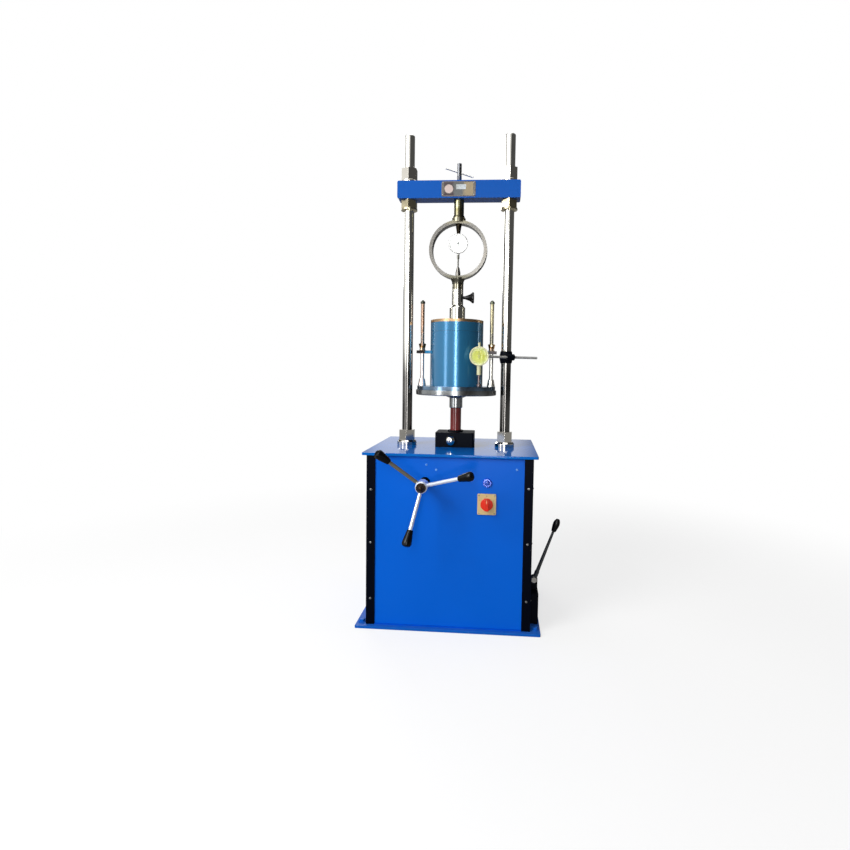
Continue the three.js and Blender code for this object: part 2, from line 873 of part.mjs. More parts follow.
// A stay rod stands in the mould base on its conical foot.
function stayRod() {
  const low = platenTop + fitGap;
  const foot = mouldFloor + fitGap;
  const high = mouldFloor + stayRise;
  return turned([
    [0, low],
    [stayRadius, low],
    [stayRadius, foot],
    [stayFootRadius, foot],
    [stayFootNeck, foot + stayFootHeight],
    [stayRadius, foot + stayFootHeight],
    [stayRadius, high],
    [stayCapRadius, high],
    [stayCapRadius, high + stayCapHeight / 2],
    [2, high + stayCapHeight],
    [0, high + stayCapHeight],
  ], 16);
}

function wingNut() {
  const low = mouldFloor + lugMiddle + lugThick / 2 + fitGap;
  const high = low + wingNutHeight;
  const hub = turned([
    [0, low],
    [wingNutRadius + 2, low],
    [wingNutRadius, low + 3],
    [wingNutRadius - 2, high],
    [0, high],
  ], 16);
  const shape = new THREE.Shape();
  shape.moveTo(-wingSpan / 2, low + 3);
  shape.lineTo(wingSpan / 2, low + 3);
  shape.lineTo(wingSpan / 2 + 5, high + 6);
  shape.lineTo(wingSpan / 2 - 2, high + 8);
  shape.lineTo(4, high - 3);
  shape.lineTo(-4, high - 3);
  shape.lineTo(-wingSpan / 2 + 2, high + 8);
  shape.lineTo(-wingSpan / 2 - 5, high + 6);
  const wings = facingFront(raised(shape, -wingThick / 2, wingThick / 2)).rotateZ(degrees(wingTurn));
  return cut(join(hub, wings), bar(stayRadius + boreGap, low - cutOver, high + 12, 16));
}

function addRam(object) {
  addPart(object, 'ram', ram(), ramRed);
  addPart(object, 'platen', platen(), chrome);
  addPart(object, 'mould_base', mouldBase(), brightSteel);
  addPart(object, 'mould_body', mouldBody(), mouldBlue);
  addPart(object, 'mould_collar', mouldCollar(), mouldBlue);
  for (const [side, x] of [['left', -stayOffset], ['right', stayOffset]]) {
    addPart(object, `${side}_stay_rod`, stayRod(), brightSteel).position.x = x;
    addPart(object, `${side}_wing_nut`, wingNut(), blackIron).position.x = x;
  }
}

function guideBlock() {
  const high = topFace + guideHeight;
  const body = raised(roundedRectangle(guideWidth, guideDepth, guideCorner), topFace, high, 3);
  const collar = bar(guideCollarRadius, high - 1, high + guideCollarHeight);
  const bore = bar(ramRadius + boreGap, topFace - cutOver, high + guideCollarHeight + cutOver, 24);
  return cut(join(body, collar), bore);
}

function guidePlug() {
  const dome = turned([
    [0, 0],
    [plugRadius, 0],
    [plugRadius, plugDepth * 0.3],
    [plugRadius * 0.75, plugDepth * 0.75],
    [plugRadius * 0.3, plugDepth],
    [0, plugDepth],
  ], 20);
  return facingFront(dome).translate(plugOffset, -guideDepth / 2, topFace + plugHeight);
}

// The case hangs from the top plate. It is open at the left and the right.
function gearCase() {
  const left = shaftX - wormPitchRadius - gearModule - caseRoom;
  const outside = block([left, -caseSide, caseFloor - caseWall], [caseSide, caseSide, topUnder]);
  const inside = block(
    [left - cutOver, -caseSide + caseWall, caseFloor],
    [caseSide + cutOver, caseSide - caseWall, topUnder - caseWall],
  );
  const seat = bar(bearingOuter + boreGap, -caseSide - cutOver, caseSide + cutOver, 24);
  const bore = bar(ramRadius + boreGap, caseFloor - caseWall - cutOver, topUnder + cutOver, 24);
  return cut(outside, inside, facingBack(seat).translate(shaftX, 0, shaftHeight), bore);
}

// A ring on the worm shaft, in the middle of the case's wall.
function shaftBearing() {
  const half = bearingWidth / 2;
  return facingBack(tube(shaftRadius + boreGap, bearingOuter, -half, half));
}

// The wheel's rim has straight sided teeth that lean with the worm's thread. A gap faces the worm.
function wormWheel() {
  const slope = Math.tan(degrees(pressureAngle));
  const root = wheelPitch - gearModule - toothClearance;
  const tip = wheelPitch + gearModule;
  const atPitch = wormLead / 4 - toothSlack;
  const halfAt = (radius) => (atPitch + (wheelPitch - radius) * slope) / radius;
  const step = 2 * Math.PI / wheelTeeth;
  const outline = [];
  for (let tooth = 0; tooth < wheelTeeth; tooth += 1) {
    const middle = Math.PI + (tooth + 0.5) * step;
    const corners = [[root, -halfAt(root)], [tip, -halfAt(tip)], [tip, halfAt(tip)], [root, halfAt(root)]];
    for (const [radius, turn] of corners) outline.push([radius, middle + turn]);
  }
  const lean = -wormLead / (2 * Math.PI * wormPitchRadius) / wheelPitch;
  const rim = leaning(outline, shaftHeight, wheelFace, lean);
  const hub = bar(wheelHubRadius, caseFloor + fitGap, topUnder - caseWall - fitGap);
  return cut(join(rim, hub), bar(ramScrewRadius + boreGap, caseFloor - cutOver, topUnder, 24));
}

// A prism on polar points [radius, angle], whose section turns by lean for each millimetre up.
function leaning(outline, middle, height, lean) {
  const positions = [];
  const count = outline.length;
  for (const end of [-1, 1]) {
    const turn = lean * end * height / 2;
    const z = middle + end * height / 2;
    for (const [radius, angle] of outline) {
      positions.push(radius * Math.cos(angle + turn), radius * Math.sin(angle + turn), z);
    }
  }
  positions.push(0, 0, middle - height / 2, 0, 0, middle + height / 2);
  const index = [];
  for (let i = 0; i < count; i += 1) {
    const next = (i + 1) % count;
    index.push(i, next, count + next, i, count + next, count + i);
    index.push(2 * count, next, i, 2 * count + 1, count + i, count + next);
  }
  const geometry = new THREE.BufferGeometry();
  geometry.setAttribute('position', new THREE.Float32BufferAttribute(positions, 3));
  geometry.setIndex(index);
  return geometry;
}

// The left handed worm: a body along Z whose radius follows the thread, and the shaft through it.
function wormShaft() {
  const steps = 7; // rings in one lead
  const sides = 18;
  const slope = Math.tan(degrees(pressureAngle));
  const root = wormPitchRadius - gearModule - toothClearance;
  const tip = wormPitchRadius + gearModule;
  const atPitch = wormLead / 4 - toothSlack;
  const rings = wormTurns * steps;
  const length = wormTurns * wormLead;
  const positions = [];
  for (let ring = 0; ring <= rings; ring += 1) {
    const along = ring * wormLead / steps - length / 2;
    const fade = Math.min(1, (length / 2 - Math.abs(along)) / wormTaper);
    for (let side = 0; side < sides; side += 1) {
      const angle = side * 2 * Math.PI / sides;
      const phase = along + wormLead * angle / (2 * Math.PI);
      const off = Math.abs(phase - wormLead * Math.round(phase / wormLead));
      const height = THREE.MathUtils.clamp(wormPitchRadius + (atPitch - off) / slope, root, tip);
      const radius = root + (height - root) * Math.max(0, fade);
      positions.push(radius * Math.cos(angle), along, -radius * Math.sin(angle));
    }
  }
  positions.push(0, -length / 2, 0, 0, length / 2, 0);
  const [first, last] = [positions.length / 3 - 2, positions.length / 3 - 1];
  const index = [];
  for (let side = 0; side < sides; side += 1) {
    const next = (side + 1) % sides;
    for (let ring = 0; ring < rings; ring += 1) {
      const [a, b] = [ring * sides + side, ring * sides + next];
      index.push(a, b, b + sides, a, b + sides, a + sides);
    }
    index.push(first, next, side, last, rings * sides + side, rings * sides + next);
  }
  const worm = new THREE.BufferGeometry();
  worm.setAttribute('position', new THREE.Float32BufferAttribute(positions, 3));
  worm.setIndex(index);
  return join(worm, facingBack(bar(shaftRadius, shaftFront, shaftRear, 24)));
}

// A flanged pulley on the shaft's axis at the belt.
function pulley(radius, bore) {
  const half = pulleyWidth / 2;
  const groove = beltWidth / 2 + fitGap;
  const rim = radius + pulleyFlange;
  const points = [
    [bore, -half],
    [rim, -half],
    [rim, -groove],
    [radius - fitGap, -groove],
    [radius - fitGap, groove],
    [rim, groove],
    [rim, half],
    [bore, half],
    [bore, -half],
  ];
  return facingBack(turned(points, 32)).translate(0, beltMiddle, 0);
}

function gearboxPulley() {
  const start = gearboxBack + fitGap;
  const shaft = facingBack(bar(outputRadius, start, beltMiddle + pulleyWidth / 2 + 4, 20));
  return join(pulley(pulleySmall, outputRadius - 2), shaft);
}

// The closed outline round two circles: the wide one at the worm shaft, the small one at the gearbox.
function beltOutline(extra) {
  const away = new THREE.Vector2(outputX - shaftX, outputHeight - shaftHeight);
  const lean = Math.acos((pulleyWide - pulleySmall) / away.length());
  const facing = away.angle();
  const ends = [
    [shaftX, shaftHeight, pulleyWide, facing + lean, facing + 2 * Math.PI - lean, 20],
    [outputX, outputHeight, pulleySmall, facing - lean, facing + lean, 10],
  ];
  const points = [];
  for (const [x, z, radius, from, to, count] of ends) {
    for (let i = 0; i <= count; i += 1) {
      const angle = from + (to - from) * i / count;
      const reach = (radius + extra) / Math.cos((to - from) / count / 2);
      points.push(new THREE.Vector2(x + reach * Math.cos(angle), z + reach * Math.sin(angle)));
    }
  }
  return points;
}

function driveBelt() {
  const shape = new THREE.Shape(beltOutline(beltThick));
  shape.holes.push(new THREE.Path(beltOutline(0)));
  const belt = raised(shape, -beltWidth / 2, beltWidth / 2);
  return facingFront(belt).translate(0, beltMiddle, 0);
}

function speedGearbox() {
  const shape = roundedRectangle(gearboxWidth, gearboxDepth, gearboxCorner);
  const middle = gearboxRight - gearboxWidth / 2;
  const high = baseThick + gearboxHeight;
  const body = raised(shape, baseThick, high, 3).translate(middle, gearboxMiddle, 0);
  const near = leverY + leverEyeThick / 2 + fitGap;
  const ear = join(
    block([-earWidth / 2, near, high - 1 - leverZ], [earWidth / 2, near + earThick, 0]),
    facingBack(bar(earWidth / 2, near, near + earThick, 20)),
  ).translate(leverX, 0, leverZ);
  const boltHole = facingBack(bar(boltRadius + boreGap, near - cutOver, near + earThick + cutOver, 16));
  return cut(join(body, ear), boltHole.translate(leverX, 0, leverZ));
}

function leverPivotBolt() {
  const near = leverY - leverEyeThick / 2 - fitGap;
  const far = leverY + leverEyeThick / 2 + fitGap + earThick;
  const head = hexagon(boltHead * 1.9, 0, boltHeadHeight);
  const shank = bar(boltRadius, -(far - near), 1, 16);
  return facingFront(join(head, shank)).translate(leverX, near, leverZ);
}

function motor() {
  const right = gearboxRight - gearboxWidth - motorShaftLength;
  const left = right - motorLength;
  const body = facingRight(turned([
    [0, left],
    [motorRadius * 0.8, left],
    [motorRadius * 0.9, left + 8],
    [motorRadius * 0.9, left + 40],
    [motorRadius, left + 42],
    [motorRadius, right - 14],
    [motorRadius * 0.8, right],
    [0, right],
  ], 24));
  const shaft = facingRight(bar(motorShaft, right - 1, right + motorShaftLength - fitGap, 16));
  const half = motorFootWidth / 2;
  const [footLeft, footRight] = [left + 50, right - 22];
  const drop = baseThick - (baseThick + motorAxis);
  const foot = block([footLeft, -half, drop], [footRight, half, drop + motorFootHeight]);
  const web = block([footLeft + 10, -half / 2, drop + 1], [footRight - 10, half / 2, 0]);
  const boxHalf = motorBoxSize / 2;
  const boxTop = motorRadius + motorBoxRise;
  const middle = (footLeft + footRight) / 2;
  const terminals = block([middle - boxHalf, -boxHalf, 0], [middle + boxHalf, boxHalf, boxTop]);
  return join(body, shaft, foot, web, terminals).translate(0, gearboxMiddle, baseThick + motorAxis);
}

function addDrive(object) {
  addPart(object, 'ram_guide_block', guideBlock(), blackIron);
  addPart(object, 'guide_plug', guidePlug(), chrome);
  addPart(object, 'gear_case', gearCase(), castIron);
  for (const [end, side] of [['front', -1], ['rear', 1]]) {
    addPart(object, `${end}_bearing`, shaftBearing(), brightSteel)
      .position.set(shaftX, side * (caseSide - caseWall / 2), shaftHeight);
  }
  addPart(object, 'worm_wheel', wormWheel(), bronze);
  addPart(object, 'drive_belt', driveBelt(), beltRubber);
  addPart(object, 'speed_gearbox', speedGearbox(), blackIron);
  addPart(object, 'motor', motor(), motorGrey);
  addPart(object, 'gearbox_pulley', gearboxPulley(), castIron).position.set(outputX, 0, outputHeight);
}

function handwheelHub() {
  const back = shaftFront + wheelHubLength / 2;
  const front = shaftFront - wheelHubLength / 2;
  const body = facingFront(turned([
    [0, -back],
    [wheelHub - 3, -back],
    [wheelHub, -back + 4],
    [wheelHub, -front - wheelHubNose],
    [wheelHub - 5, -front],
    [0, -front],
  ], 24));
  const armStart = wheelHub - armRadius;
  const socket = facingBack(bar(shaftRadius + boreGap, shaftFront - fitGap, back + cutOver, 24));
  const arms = armNames.map((name, arm) => onArm(bar(armRadius, armStart, armLength, 16), arm));
  return cut(join(body, ...arms), socket);
}

// Puts a body that lies along Z on an arm's axis, which starts on the shaft's axis and leans forward.
function onArm(geometry, arm) {
  const angle = degrees(armFirst + arm * 360 / armNames.length);
  const lying = facingRight(geometry).rotateZ(-degrees(armLean));
  return lying.rotateY(-angle).translate(0, shaftFront, 0);
}

function handwheelGrip() {
  const start = armLength - gripOverlap;
  const end = start + gripLength;
  const body = turned([
    [0, start],
    [gripNarrow, start],
    [gripWide * 0.95, end - 16],
    [gripWide, end - 9],
    [gripWide * 0.85, end - 3],
    [gripWide * 0.45, end],
    [0, end],
  ], 20);
  return cut(body, bar(armRadius + boreGap, start - cutOver, armLength + fitGap, 16));
}

function addHandwheel(object) {
  const group = groupAt(shaftX, 0, shaftHeight);
  addPart(group, 'worm_shaft', wormShaft(), brightSteel);
  addPart(group, 'handwheel_hub', handwheelHub(), chrome);
  armNames.forEach((name, arm) => {
    addPart(group, `${name}_grip`, onArm(handwheelGrip(), arm), blackPlastic);
  });
  addPart(group, 'shaft_pulley', pulley(pulleyWide, shaftRadius + boreGap), castIron);
  object.add(group);
}

function shiftLever() {
  const half = leverEyeThick / 2;
  const eye = facingBack(bar(leverEye, -half, half, 20));
  const collarFoot = earWidth / 2 + 2 * fitGap;
  const stem = turned([
    [0, leverEye - 3],
    [leverRadius, leverEye - 3],
    [leverRadius, collarFoot],
    [leverThick, collarFoot],
    [leverThick, collarFoot + leverCollarLength],
    [leverRadius, leverLength - leverGrip],
    [leverRadius, leverLength],
    [0, leverLength],
  ], 16);
  const collar = bar(leverCollar, collarFoot, collarFoot + leverCollarLength, 16);
  const rod = join(stem, collar).rotateY(degrees(leverLean));
  return cut(join(eye, rod), facingBack(bar(boltRadius + boreGap, -half - cutOver, half + cutOver, 16)));
}

function leverKnob() {
  const low = leverLength - leverGrip;
  const high = low + leverKnobLength;
  const body = turned([
    [0, low],
    [leverRadius + 3, low],
    [leverKnobRadius * 0.9, low + leverKnobLength * 0.35],
    [leverKnobRadius, low + leverKnobLength * 0.6],
    [leverKnobRadius * 0.85, low + leverKnobLength * 0.82],
    [leverKnobRadius * 0.45, high],
    [0, high],
  ], 20);
  return cut(body, bar(leverRadius + boreGap, low - cutOver, leverLength + fitGap, 16)).rotateY(degrees(leverLean));
}

function addLever(object) {
  const group = groupAt(leverX, leverY, leverZ);
  addPart(group, 'shift_lever', shiftLever(), chrome);
  addPart(group, 'lever_knob', leverKnob(), blackPlastic);
  object.add(group);
  addPart(object, 'lever_pivot_bolt', leverPivotBolt(), chrome);
}

function switchPlate() {
  const face = roundedRectangle(switchWidth, switchHeight, switchCorner);
  const plate = raised(face, 0, switchThick, 3);
  const body = block([-switchBody, -switchBody, -switchBodyDepth], [switchBody, switchBody, 1]);
  const stem = bar(5 + boreGap, -10, switchThick + cutOver, 12);
  return facingFront(cut(join(plate, body), stem)).translate(switchX, panelFront, switchZ);
}

// A round knob with a grip bar across it, turning about Y.
function switchKnob() {
  const stem = bar(5, switchThick - 12, switchThick + fitGap + 1, 12);
  const base = turned([
    [0, switchThick + fitGap],
    [knobRadius, switchThick + fitGap],
    [knobRadius, switchThick + knobBase - 1],
    [knobRadius - 1.5, switchThick + knobBase],
    [0, switchThick + knobBase],
  ], 24);
  const top = switchThick + knobRise;
  const length = knobRadius - 2;
  const grip = block([-knobGrip / 2, -length, switchThick + 1], [knobGrip / 2, length, top]);
  return facingFront(join(stem, base, grip)).translate(0, panelFront, 0);
}

function addControls(object) {
  addPart(object, 'switch_plate', switchPlate(), switchYellow);
  addPart(object, 'switch_knob', switchKnob(), switchRed).position.set(switchX, 0, switchZ);
  const bezel = turned([
    [lampRadius - 2, -lampBody],
    [lampRadius, -lampBody],
    [lampRadius, 0],
    [lampBezel, 0],
    [lampBezel, lampBezelHeight * 0.5],
    [lampBezel - 1.5, lampBezelHeight],
    [lampRadius - 2, lampBezelHeight],
    [lampRadius - 2, -lampBody],
  ], 24);
  addPart(object, 'lamp_bezel', facingFront(bezel), chrome).position.set(lampX, panelFront, lampZ);
  const lens = turned([
    [0, -8],
    [lampRadius - 2 - fitGap, -8],
    [lampRadius - 2 - fitGap, lampBezelHeight],
    [lampRadius * 0.6, lampBezelHeight + lampDome * 0.7],
    [lampRadius * 0.25, lampBezelHeight + lampDome],
    [0, lampBezelHeight + lampDome],
  ], 20);
  addPart(object, 'lamp_lens', facingFront(lens), lampLens).position.set(lampX, panelFront, lampZ);
}

// The clamp is turned about the column's axis, with the rod beside the column.
function columnClamp() {
  const bore = columnRadius + boreGap;
  const half = clampHeight / 2;
  const ring = turned([
    [bore, -half],
    [clampEnd, -half],
    [clampMiddle, 0],
    [clampEnd, half],
    [bore, half],
    [bore, -half],
  ], 24);
  const boss = facingRight(bar(rodBoss, -rodBossLength / 2, rodBossLength / 2, 20)).translate(0, -rodOffset, 0);
  const rodHole = facingRight(bar(rodRadius + boreGap, -rodBossLength, rodBossLength, 16));
  const columnHole = bar(bore, -half - cutOver, half + cutOver, 24);
  return cut(join(ring, boss), rodHole.translate(0, -rodOffset, 0), columnHole);
}

// The rod's end lies behind the gauge. It passes the column's axis at the rod's offset.
function rodLine() {
  const end = new THREE.Vector2(dialX - columnX, dialY + dialDepth / 2 + rodRadius + fitGap);
  const angle = Math.atan(end.y / end.x) - Math.asin(rodOffset / end.length());
  const along = new THREE.Vector2(Math.cos(angle), Math.sin(angle));
  return { angle, reach: end.dot(along) };
}

function dialCase() {
  const stemFoot = -dialRadius - dialStemLength;
  const stem = bar(dialStem, stemFoot, -dialRadius + 3, 16);
  const cap = bar(dialCap, dialRadius - 3, dialRadius + dialCapHeight, 12);
  const [back, rise] = [dialDepth / 2, dialLugHeight / 2];
  const lug = block([-cutOver, back - 1, -rise], [dialLugWidth - cutOver, back + dialLugDepth, rise]);
  const boreTop = stemFoot + spindleGrip + spindleTravel + 1;
  const bore = bar(spindleRadius + boreGap, stemFoot - cutOver, boreTop, 12);
  const rodHole = gaugeRod(rodRadius + boreGap, fitGap).translate(columnX - dialX, -dialY, 0);
  return cut(join(gaugeCase(dialRadius, dialDepth), stem, cap, lug), bore, rodHole);
}

// The rod lies beside the column's axis, at the origin, and points to the gauge.
function gaugeRod(radius, extra = 0) {
  const { angle, reach } = rodLine();
  const rod = facingRight(bar(radius, reach - extra, rodTail, 16));
  return rod.translate(0, -rodOffset, 0).rotateZ(angle);
}

function dialSpindle() {
  const tip = mouldFloor + fitGap - dialZ;
  const top = -dialRadius - dialStemLength + spindleGrip;
  return turned([
    [0, tip],
    [spindleFoot - 1, tip],
    [spindleFoot, tip + 2],
    [spindleFoot, tip + spindleFootHeight],
    [spindleRadius, tip + spindleFootHeight],
    [spindleRadius, top],
    [0, top],
  ], 16);
}

function addDialGauge(object) {
  addPart(object, 'column_clamp', columnClamp().rotateZ(rodLine().angle), blackIron)
    .position.set(columnX, 0, dialZ);
  addPart(object, 'gauge_rod', gaugeRod(rodRadius), chrome).position.set(columnX, 0, dialZ);
  const group = groupAt(dialX, dialY, dialZ);
  addPart(group, 'dial_case', dialCase(), dialCream);
  addPart(group, 'dial_needle', gaugeNeedle(dialRadius, dialDepth), blackPlastic);
  addPart(group, 'dial_spindle', dialSpindle(), brightSteel);
  object.add(group);
}

const loadFrame = new THREE.Group();
addCabinet(loadFrame);
addColumns(loadFrame);
addDrive(loadFrame);
addHandwheel(loadFrame);
addLever(loadFrame);
addControls(loadFrame);
addRam(loadFrame);
addCrosshead(loadFrame);
addDialGauge(loadFrame);

export default loadFrame;
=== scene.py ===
"""Looks of the bearing ratio load frame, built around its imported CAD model.

Lengths in the classes are in millimetres, in the CAD model's own frame. The scene is in metres.
"""

import logging
import math
from dataclasses import dataclass
from enum import Enum
from typing import Any, Mapping, Sequence

import bmesh
import bpy
from mathutils import Matrix, Vector


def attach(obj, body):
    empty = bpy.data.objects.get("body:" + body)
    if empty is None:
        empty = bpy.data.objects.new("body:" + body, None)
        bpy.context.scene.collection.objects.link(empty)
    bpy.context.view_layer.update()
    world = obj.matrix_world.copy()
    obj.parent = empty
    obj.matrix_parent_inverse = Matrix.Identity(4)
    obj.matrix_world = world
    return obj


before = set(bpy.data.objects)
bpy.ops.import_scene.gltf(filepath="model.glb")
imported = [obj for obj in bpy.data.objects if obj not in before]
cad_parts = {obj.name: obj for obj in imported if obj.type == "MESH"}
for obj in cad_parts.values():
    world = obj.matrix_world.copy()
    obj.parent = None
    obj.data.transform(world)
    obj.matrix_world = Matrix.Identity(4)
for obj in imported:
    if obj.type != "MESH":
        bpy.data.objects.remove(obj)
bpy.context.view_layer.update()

MM = 0.001
LOG = logging.getLogger("load_frame")

Flat = tuple[float, float]
Point = tuple[float, float, float]
Colour = tuple[float, float, float]
Socket = bpy.types.NodeSocket

# The kinds of sockets that an effect has
NUMBER = "NodeSocketFloat"
TINT = "NodeSocketColor"
ARROW = "NodeSocketVector"

# The starting value of a colour socket, and the colour of light
GREY = (0.5, 0.5, 0.5, 1.0)
WHITE = (1.0, 1.0, 1.0, 1.0)


def linear(colour: Colour) -> tuple[float, float, float, float]:
    """Turns a screen colour into the renderer's own values.

    Args:
        colour: Red, green and blue, from 0 to 255.

    Returns:
        The linear colour with an alpha of 1.
    """
    parts = [c / 255 for c in colour]
    low = [c / 12.92 if c <= 0.04045 else ((c + 0.055) / 1.055) ** 2.4 for c in parts]
    return (low[0], low[1], low[2], 1.0)


class Axis(Enum):
    """A main direction of the frame."""

    X = Vector((1, 0, 0))
    Y = Vector((0, 1, 0))
    Z = Vector((0, 0, 1))
    FRONT = Vector((0, -1, 0))
    LEFT = Vector((-1, 0, 0))
    UPPER_ARM = Vector((-0.743, 0, 0.669))


class Graph:
    """A node tree that is filled one node at a time."""

    def __init__(self, tree: bpy.types.NodeTree) -> None:
        """Starts on an empty tree."""
        self.tree = tree
        tree.nodes.clear()

    def add(self, kind: str, inputs: Mapping[Any, Any] | None = None, **settings: Any) -> bpy.types.Node:
        """Adds one node.

        Args:
            kind: The node's type name.
            inputs: Socket names or numbers, with a value or a socket to link for each.
            settings: The node's own properties.

        Returns:
            The new node.
        """
        node = self.tree.nodes.new(kind)
        for name, value in settings.items():
            setattr(node, name, value)
        for key, value in (inputs or {}).items():
            if isinstance(value, Socket):
                self.tree.links.new(value, node.inputs[key])
            else:
                node.inputs[key].default_value = value
        return node

    def math(self, operation: str, first: Any, second: Any = 0.0, clamp: bool = False) -> Socket:
        """Works out one sum on two values.

        Args:
            operation: The sum's name, such as ADD.
            first: The first value, or a socket with it.
            second: The second value, or a socket with it.
            clamp: Whether the result is kept between 0 and 1.

        Returns:
            The result.
        """
        node = self.add("ShaderNodeMath", {0: first, 1: second}, operation=operation, use_clamp=clamp)
        return node.outputs[0]

    def around_one(self, value: Any, strength: Any) -> Socket:
        """Returns 1 plus a value times its strength."""
        inputs = {0: value, 1: strength, 2: 1.0}
        return self.add("ShaderNodeMath", inputs, operation="MULTIPLY_ADD").outputs[0]

    def vector(self, operation: str, first: Any, second: Any = (0, 0, 0)) -> bpy.types.Node:
        """Returns a node that works on two vectors."""
        return self.add("ShaderNodeVectorMath", {0: first, 1: second}, operation=operation)

    def mix(self, factor: Any, first: Any, second: Any) -> Socket:
        """Returns a colour between two colours."""
        return self.add("ShaderNodeMix", {0: factor, 6: first, 7: second}, data_type="RGBA").outputs[2]

    def scaled(self, colour: Any, factor: Any) -> Socket:
        """Returns a colour made brighter or darker by a factor."""
        inputs = {0: colour, "Scale": factor}
        return self.add("ShaderNodeVectorMath", inputs, operation="SCALE").outputs[0]

    def between(self, value: Any, low: float, high: float, start: float = 0.0, end: float = 1.0) -> Socket:
        """Turns one range of values smoothly into another.

        Args:
            value: The value to turn.
            low: The value that gives the start.
            high: The value that gives the end.
            start: The first result.
            end: The last result.

        Returns:
            The result, which stays within the second range.
        """
        inputs = {0: value, 1: low, 2: high, 3: start, 4: end}
        return self.add("ShaderNodeMapRange", inputs, interpolation_type="SMOOTHSTEP").outputs[0]

    def noise(self, place: Any, scale: Any, detail: float = 2.0, roughness: float = 0.5) -> Socket:
        """Makes a noise from 0 to 1.

        Args:
            place: The point to read it at.
            scale: How fine it is.
            detail: How many finer layers it has.
            roughness: How strong the finer layers are.

        Returns:
            The noise's value.
        """
        inputs = {"Vector": place, "Scale": scale, "Detail": detail, "Roughness": roughness}
        return self.add("ShaderNodeTexNoise", inputs).outputs["Fac"]

    def place(self) -> Socket:
        """Returns the point on the object, in metres."""
        return self.add("ShaderNodeTexCoord").outputs["Object"]

    def parts(self, vector: Any) -> Mapping[str, Socket]:
        """Returns a vector's X, Y and Z."""
        return self.add("ShaderNodeSeparateXYZ", {0: vector}).outputs


class Effect:
    """A shader node group that more than one material uses.

    Attributes:
        name: The group's name.
        takes: Each input's kind and starting value.
        gives: Each output's kind.
        made: The groups made so far, by name.
    """

    name = ""
    takes: Mapping[str, tuple[str, Any]] = {}
    gives: Mapping[str, str] = {}
    made: dict[str, bpy.types.NodeTree] = {}

    @classmethod
    def tree(cls) -> bpy.types.NodeTree:
        """Builds the group on its first use.

        Returns:
            The group.
        """
        if cls.name not in Effect.made:
            tree = bpy.data.node_groups.new(cls.name, "ShaderNodeTree")
            for name, (kind, default) in cls.takes.items():
                socket = tree.interface.new_socket(name, in_out="INPUT", socket_type=kind)
                socket.default_value = default
            for name, kind in cls.gives.items():
                tree.interface.new_socket(name, in_out="OUTPUT", socket_type=kind)
            graph = Graph(tree)
            given = graph.add("NodeGroupInput").outputs
            graph.add("NodeGroupOutput", cls.fill(graph, given))
            Effect.made[cls.name] = tree
        return Effect.made[cls.name]

    @classmethod
    def use(cls, graph: Graph, **values: Any) -> Mapping[str, Socket]:
        """Places the group in a material.

        Args:
            graph: The material's graph.
            values: The group's inputs, with an underscore for each space.

        Returns:
            The group's outputs by name.
        """
        node = graph.add("ShaderNodeGroup", node_tree=cls.tree())
        for key, value in values.items():
            socket = node.inputs[key.replace("_", " ")]
            if isinstance(value, Socket):
                graph.tree.links.new(value, socket)
            else:
                socket.default_value = value
        return node.outputs

    @staticmethod
    def fill(graph: Graph, given: Mapping[str, Socket]) -> dict[str, Socket]:
        """Builds the inside of the group and gives its results by name."""
        raise NotImplementedError


class PaintSkin(Effect):
    """A sprayed coat: slow changes of tone, uneven gloss and a faint orange peel."""

    name = "paint skin"
    takes = {
        "Colour": (TINT, GREY),
        "Tone": (NUMBER, 0.1),
        "Roughness": (NUMBER, 0.3),
        "Spread": (NUMBER, 0.1),
        "Peel Scale": (NUMBER, 260.0),
    }
    gives = {"Colour": TINT, "Roughness": NUMBER, "Height": NUMBER}

    @staticmethod
    def fill(graph: Graph, given: Mapping[str, Socket]) -> dict[str, Socket]:
        """Builds the inside of the group.

        Args:
            graph: The group's graph.
            given: The group's inputs.

        Returns:
            The group's results by name.
        """
        place = graph.place()
        slow = graph.noise(place, 4.5, 3.0)
        shade = graph.around_one(graph.math("SUBTRACT", slow, 0.5), given["Tone"])
        toned = graph.scaled(given["Colour"], shade)
        patchy = graph.math("SUBTRACT", graph.noise(place, 17.0, 4.0, 0.6), 0.5)
        rough = graph.math("ADD", given["Roughness"], graph.math("MULTIPLY", patchy, given["Spread"]))
        peel = graph.noise(place, given["Peel Scale"], 1.0)
        return {"Colour": toned, "Roughness": rough, "Height": peel}


class RubbedEdges(Effect):
    """Edges that hands and tools have rubbed down to what is under the finish."""

    name = "rubbed edges"
    takes = {
        "Colour": (TINT, GREY),
        "Bare": (TINT, GREY),
        "Radius": (NUMBER, 0.001),
        "Amount": (NUMBER, 0.5),
    }
    gives = {"Colour": TINT, "Mask": NUMBER}

    @staticmethod
    def fill(graph: Graph, given: Mapping[str, Socket]) -> dict[str, Socket]:
        """Builds the inside of the group.

        Args:
            graph: The group's graph.
            given: The group's inputs.

        Returns:
            The group's results by name.
        """
        soft = graph.add("ShaderNodeBevel", {"Radius": given["Radius"]}, samples=4)
        sharp = graph.add("ShaderNodeNewGeometry").outputs["Normal"]
        turn = graph.vector("DOT_PRODUCT", soft.outputs[0], sharp).outputs["Value"]
        edge = graph.between(turn, 0.99, 0.86)
        broken = graph.between(graph.noise(graph.place(), 65.0, 5.0, 0.7), 0.42, 0.62)
        mask = graph.math("MULTIPLY", graph.math("MULTIPLY", edge, broken), given["Amount"], clamp=True)
        return {"Colour": graph.mix(mask, given["Colour"], given["Bare"]), "Mask": mask}


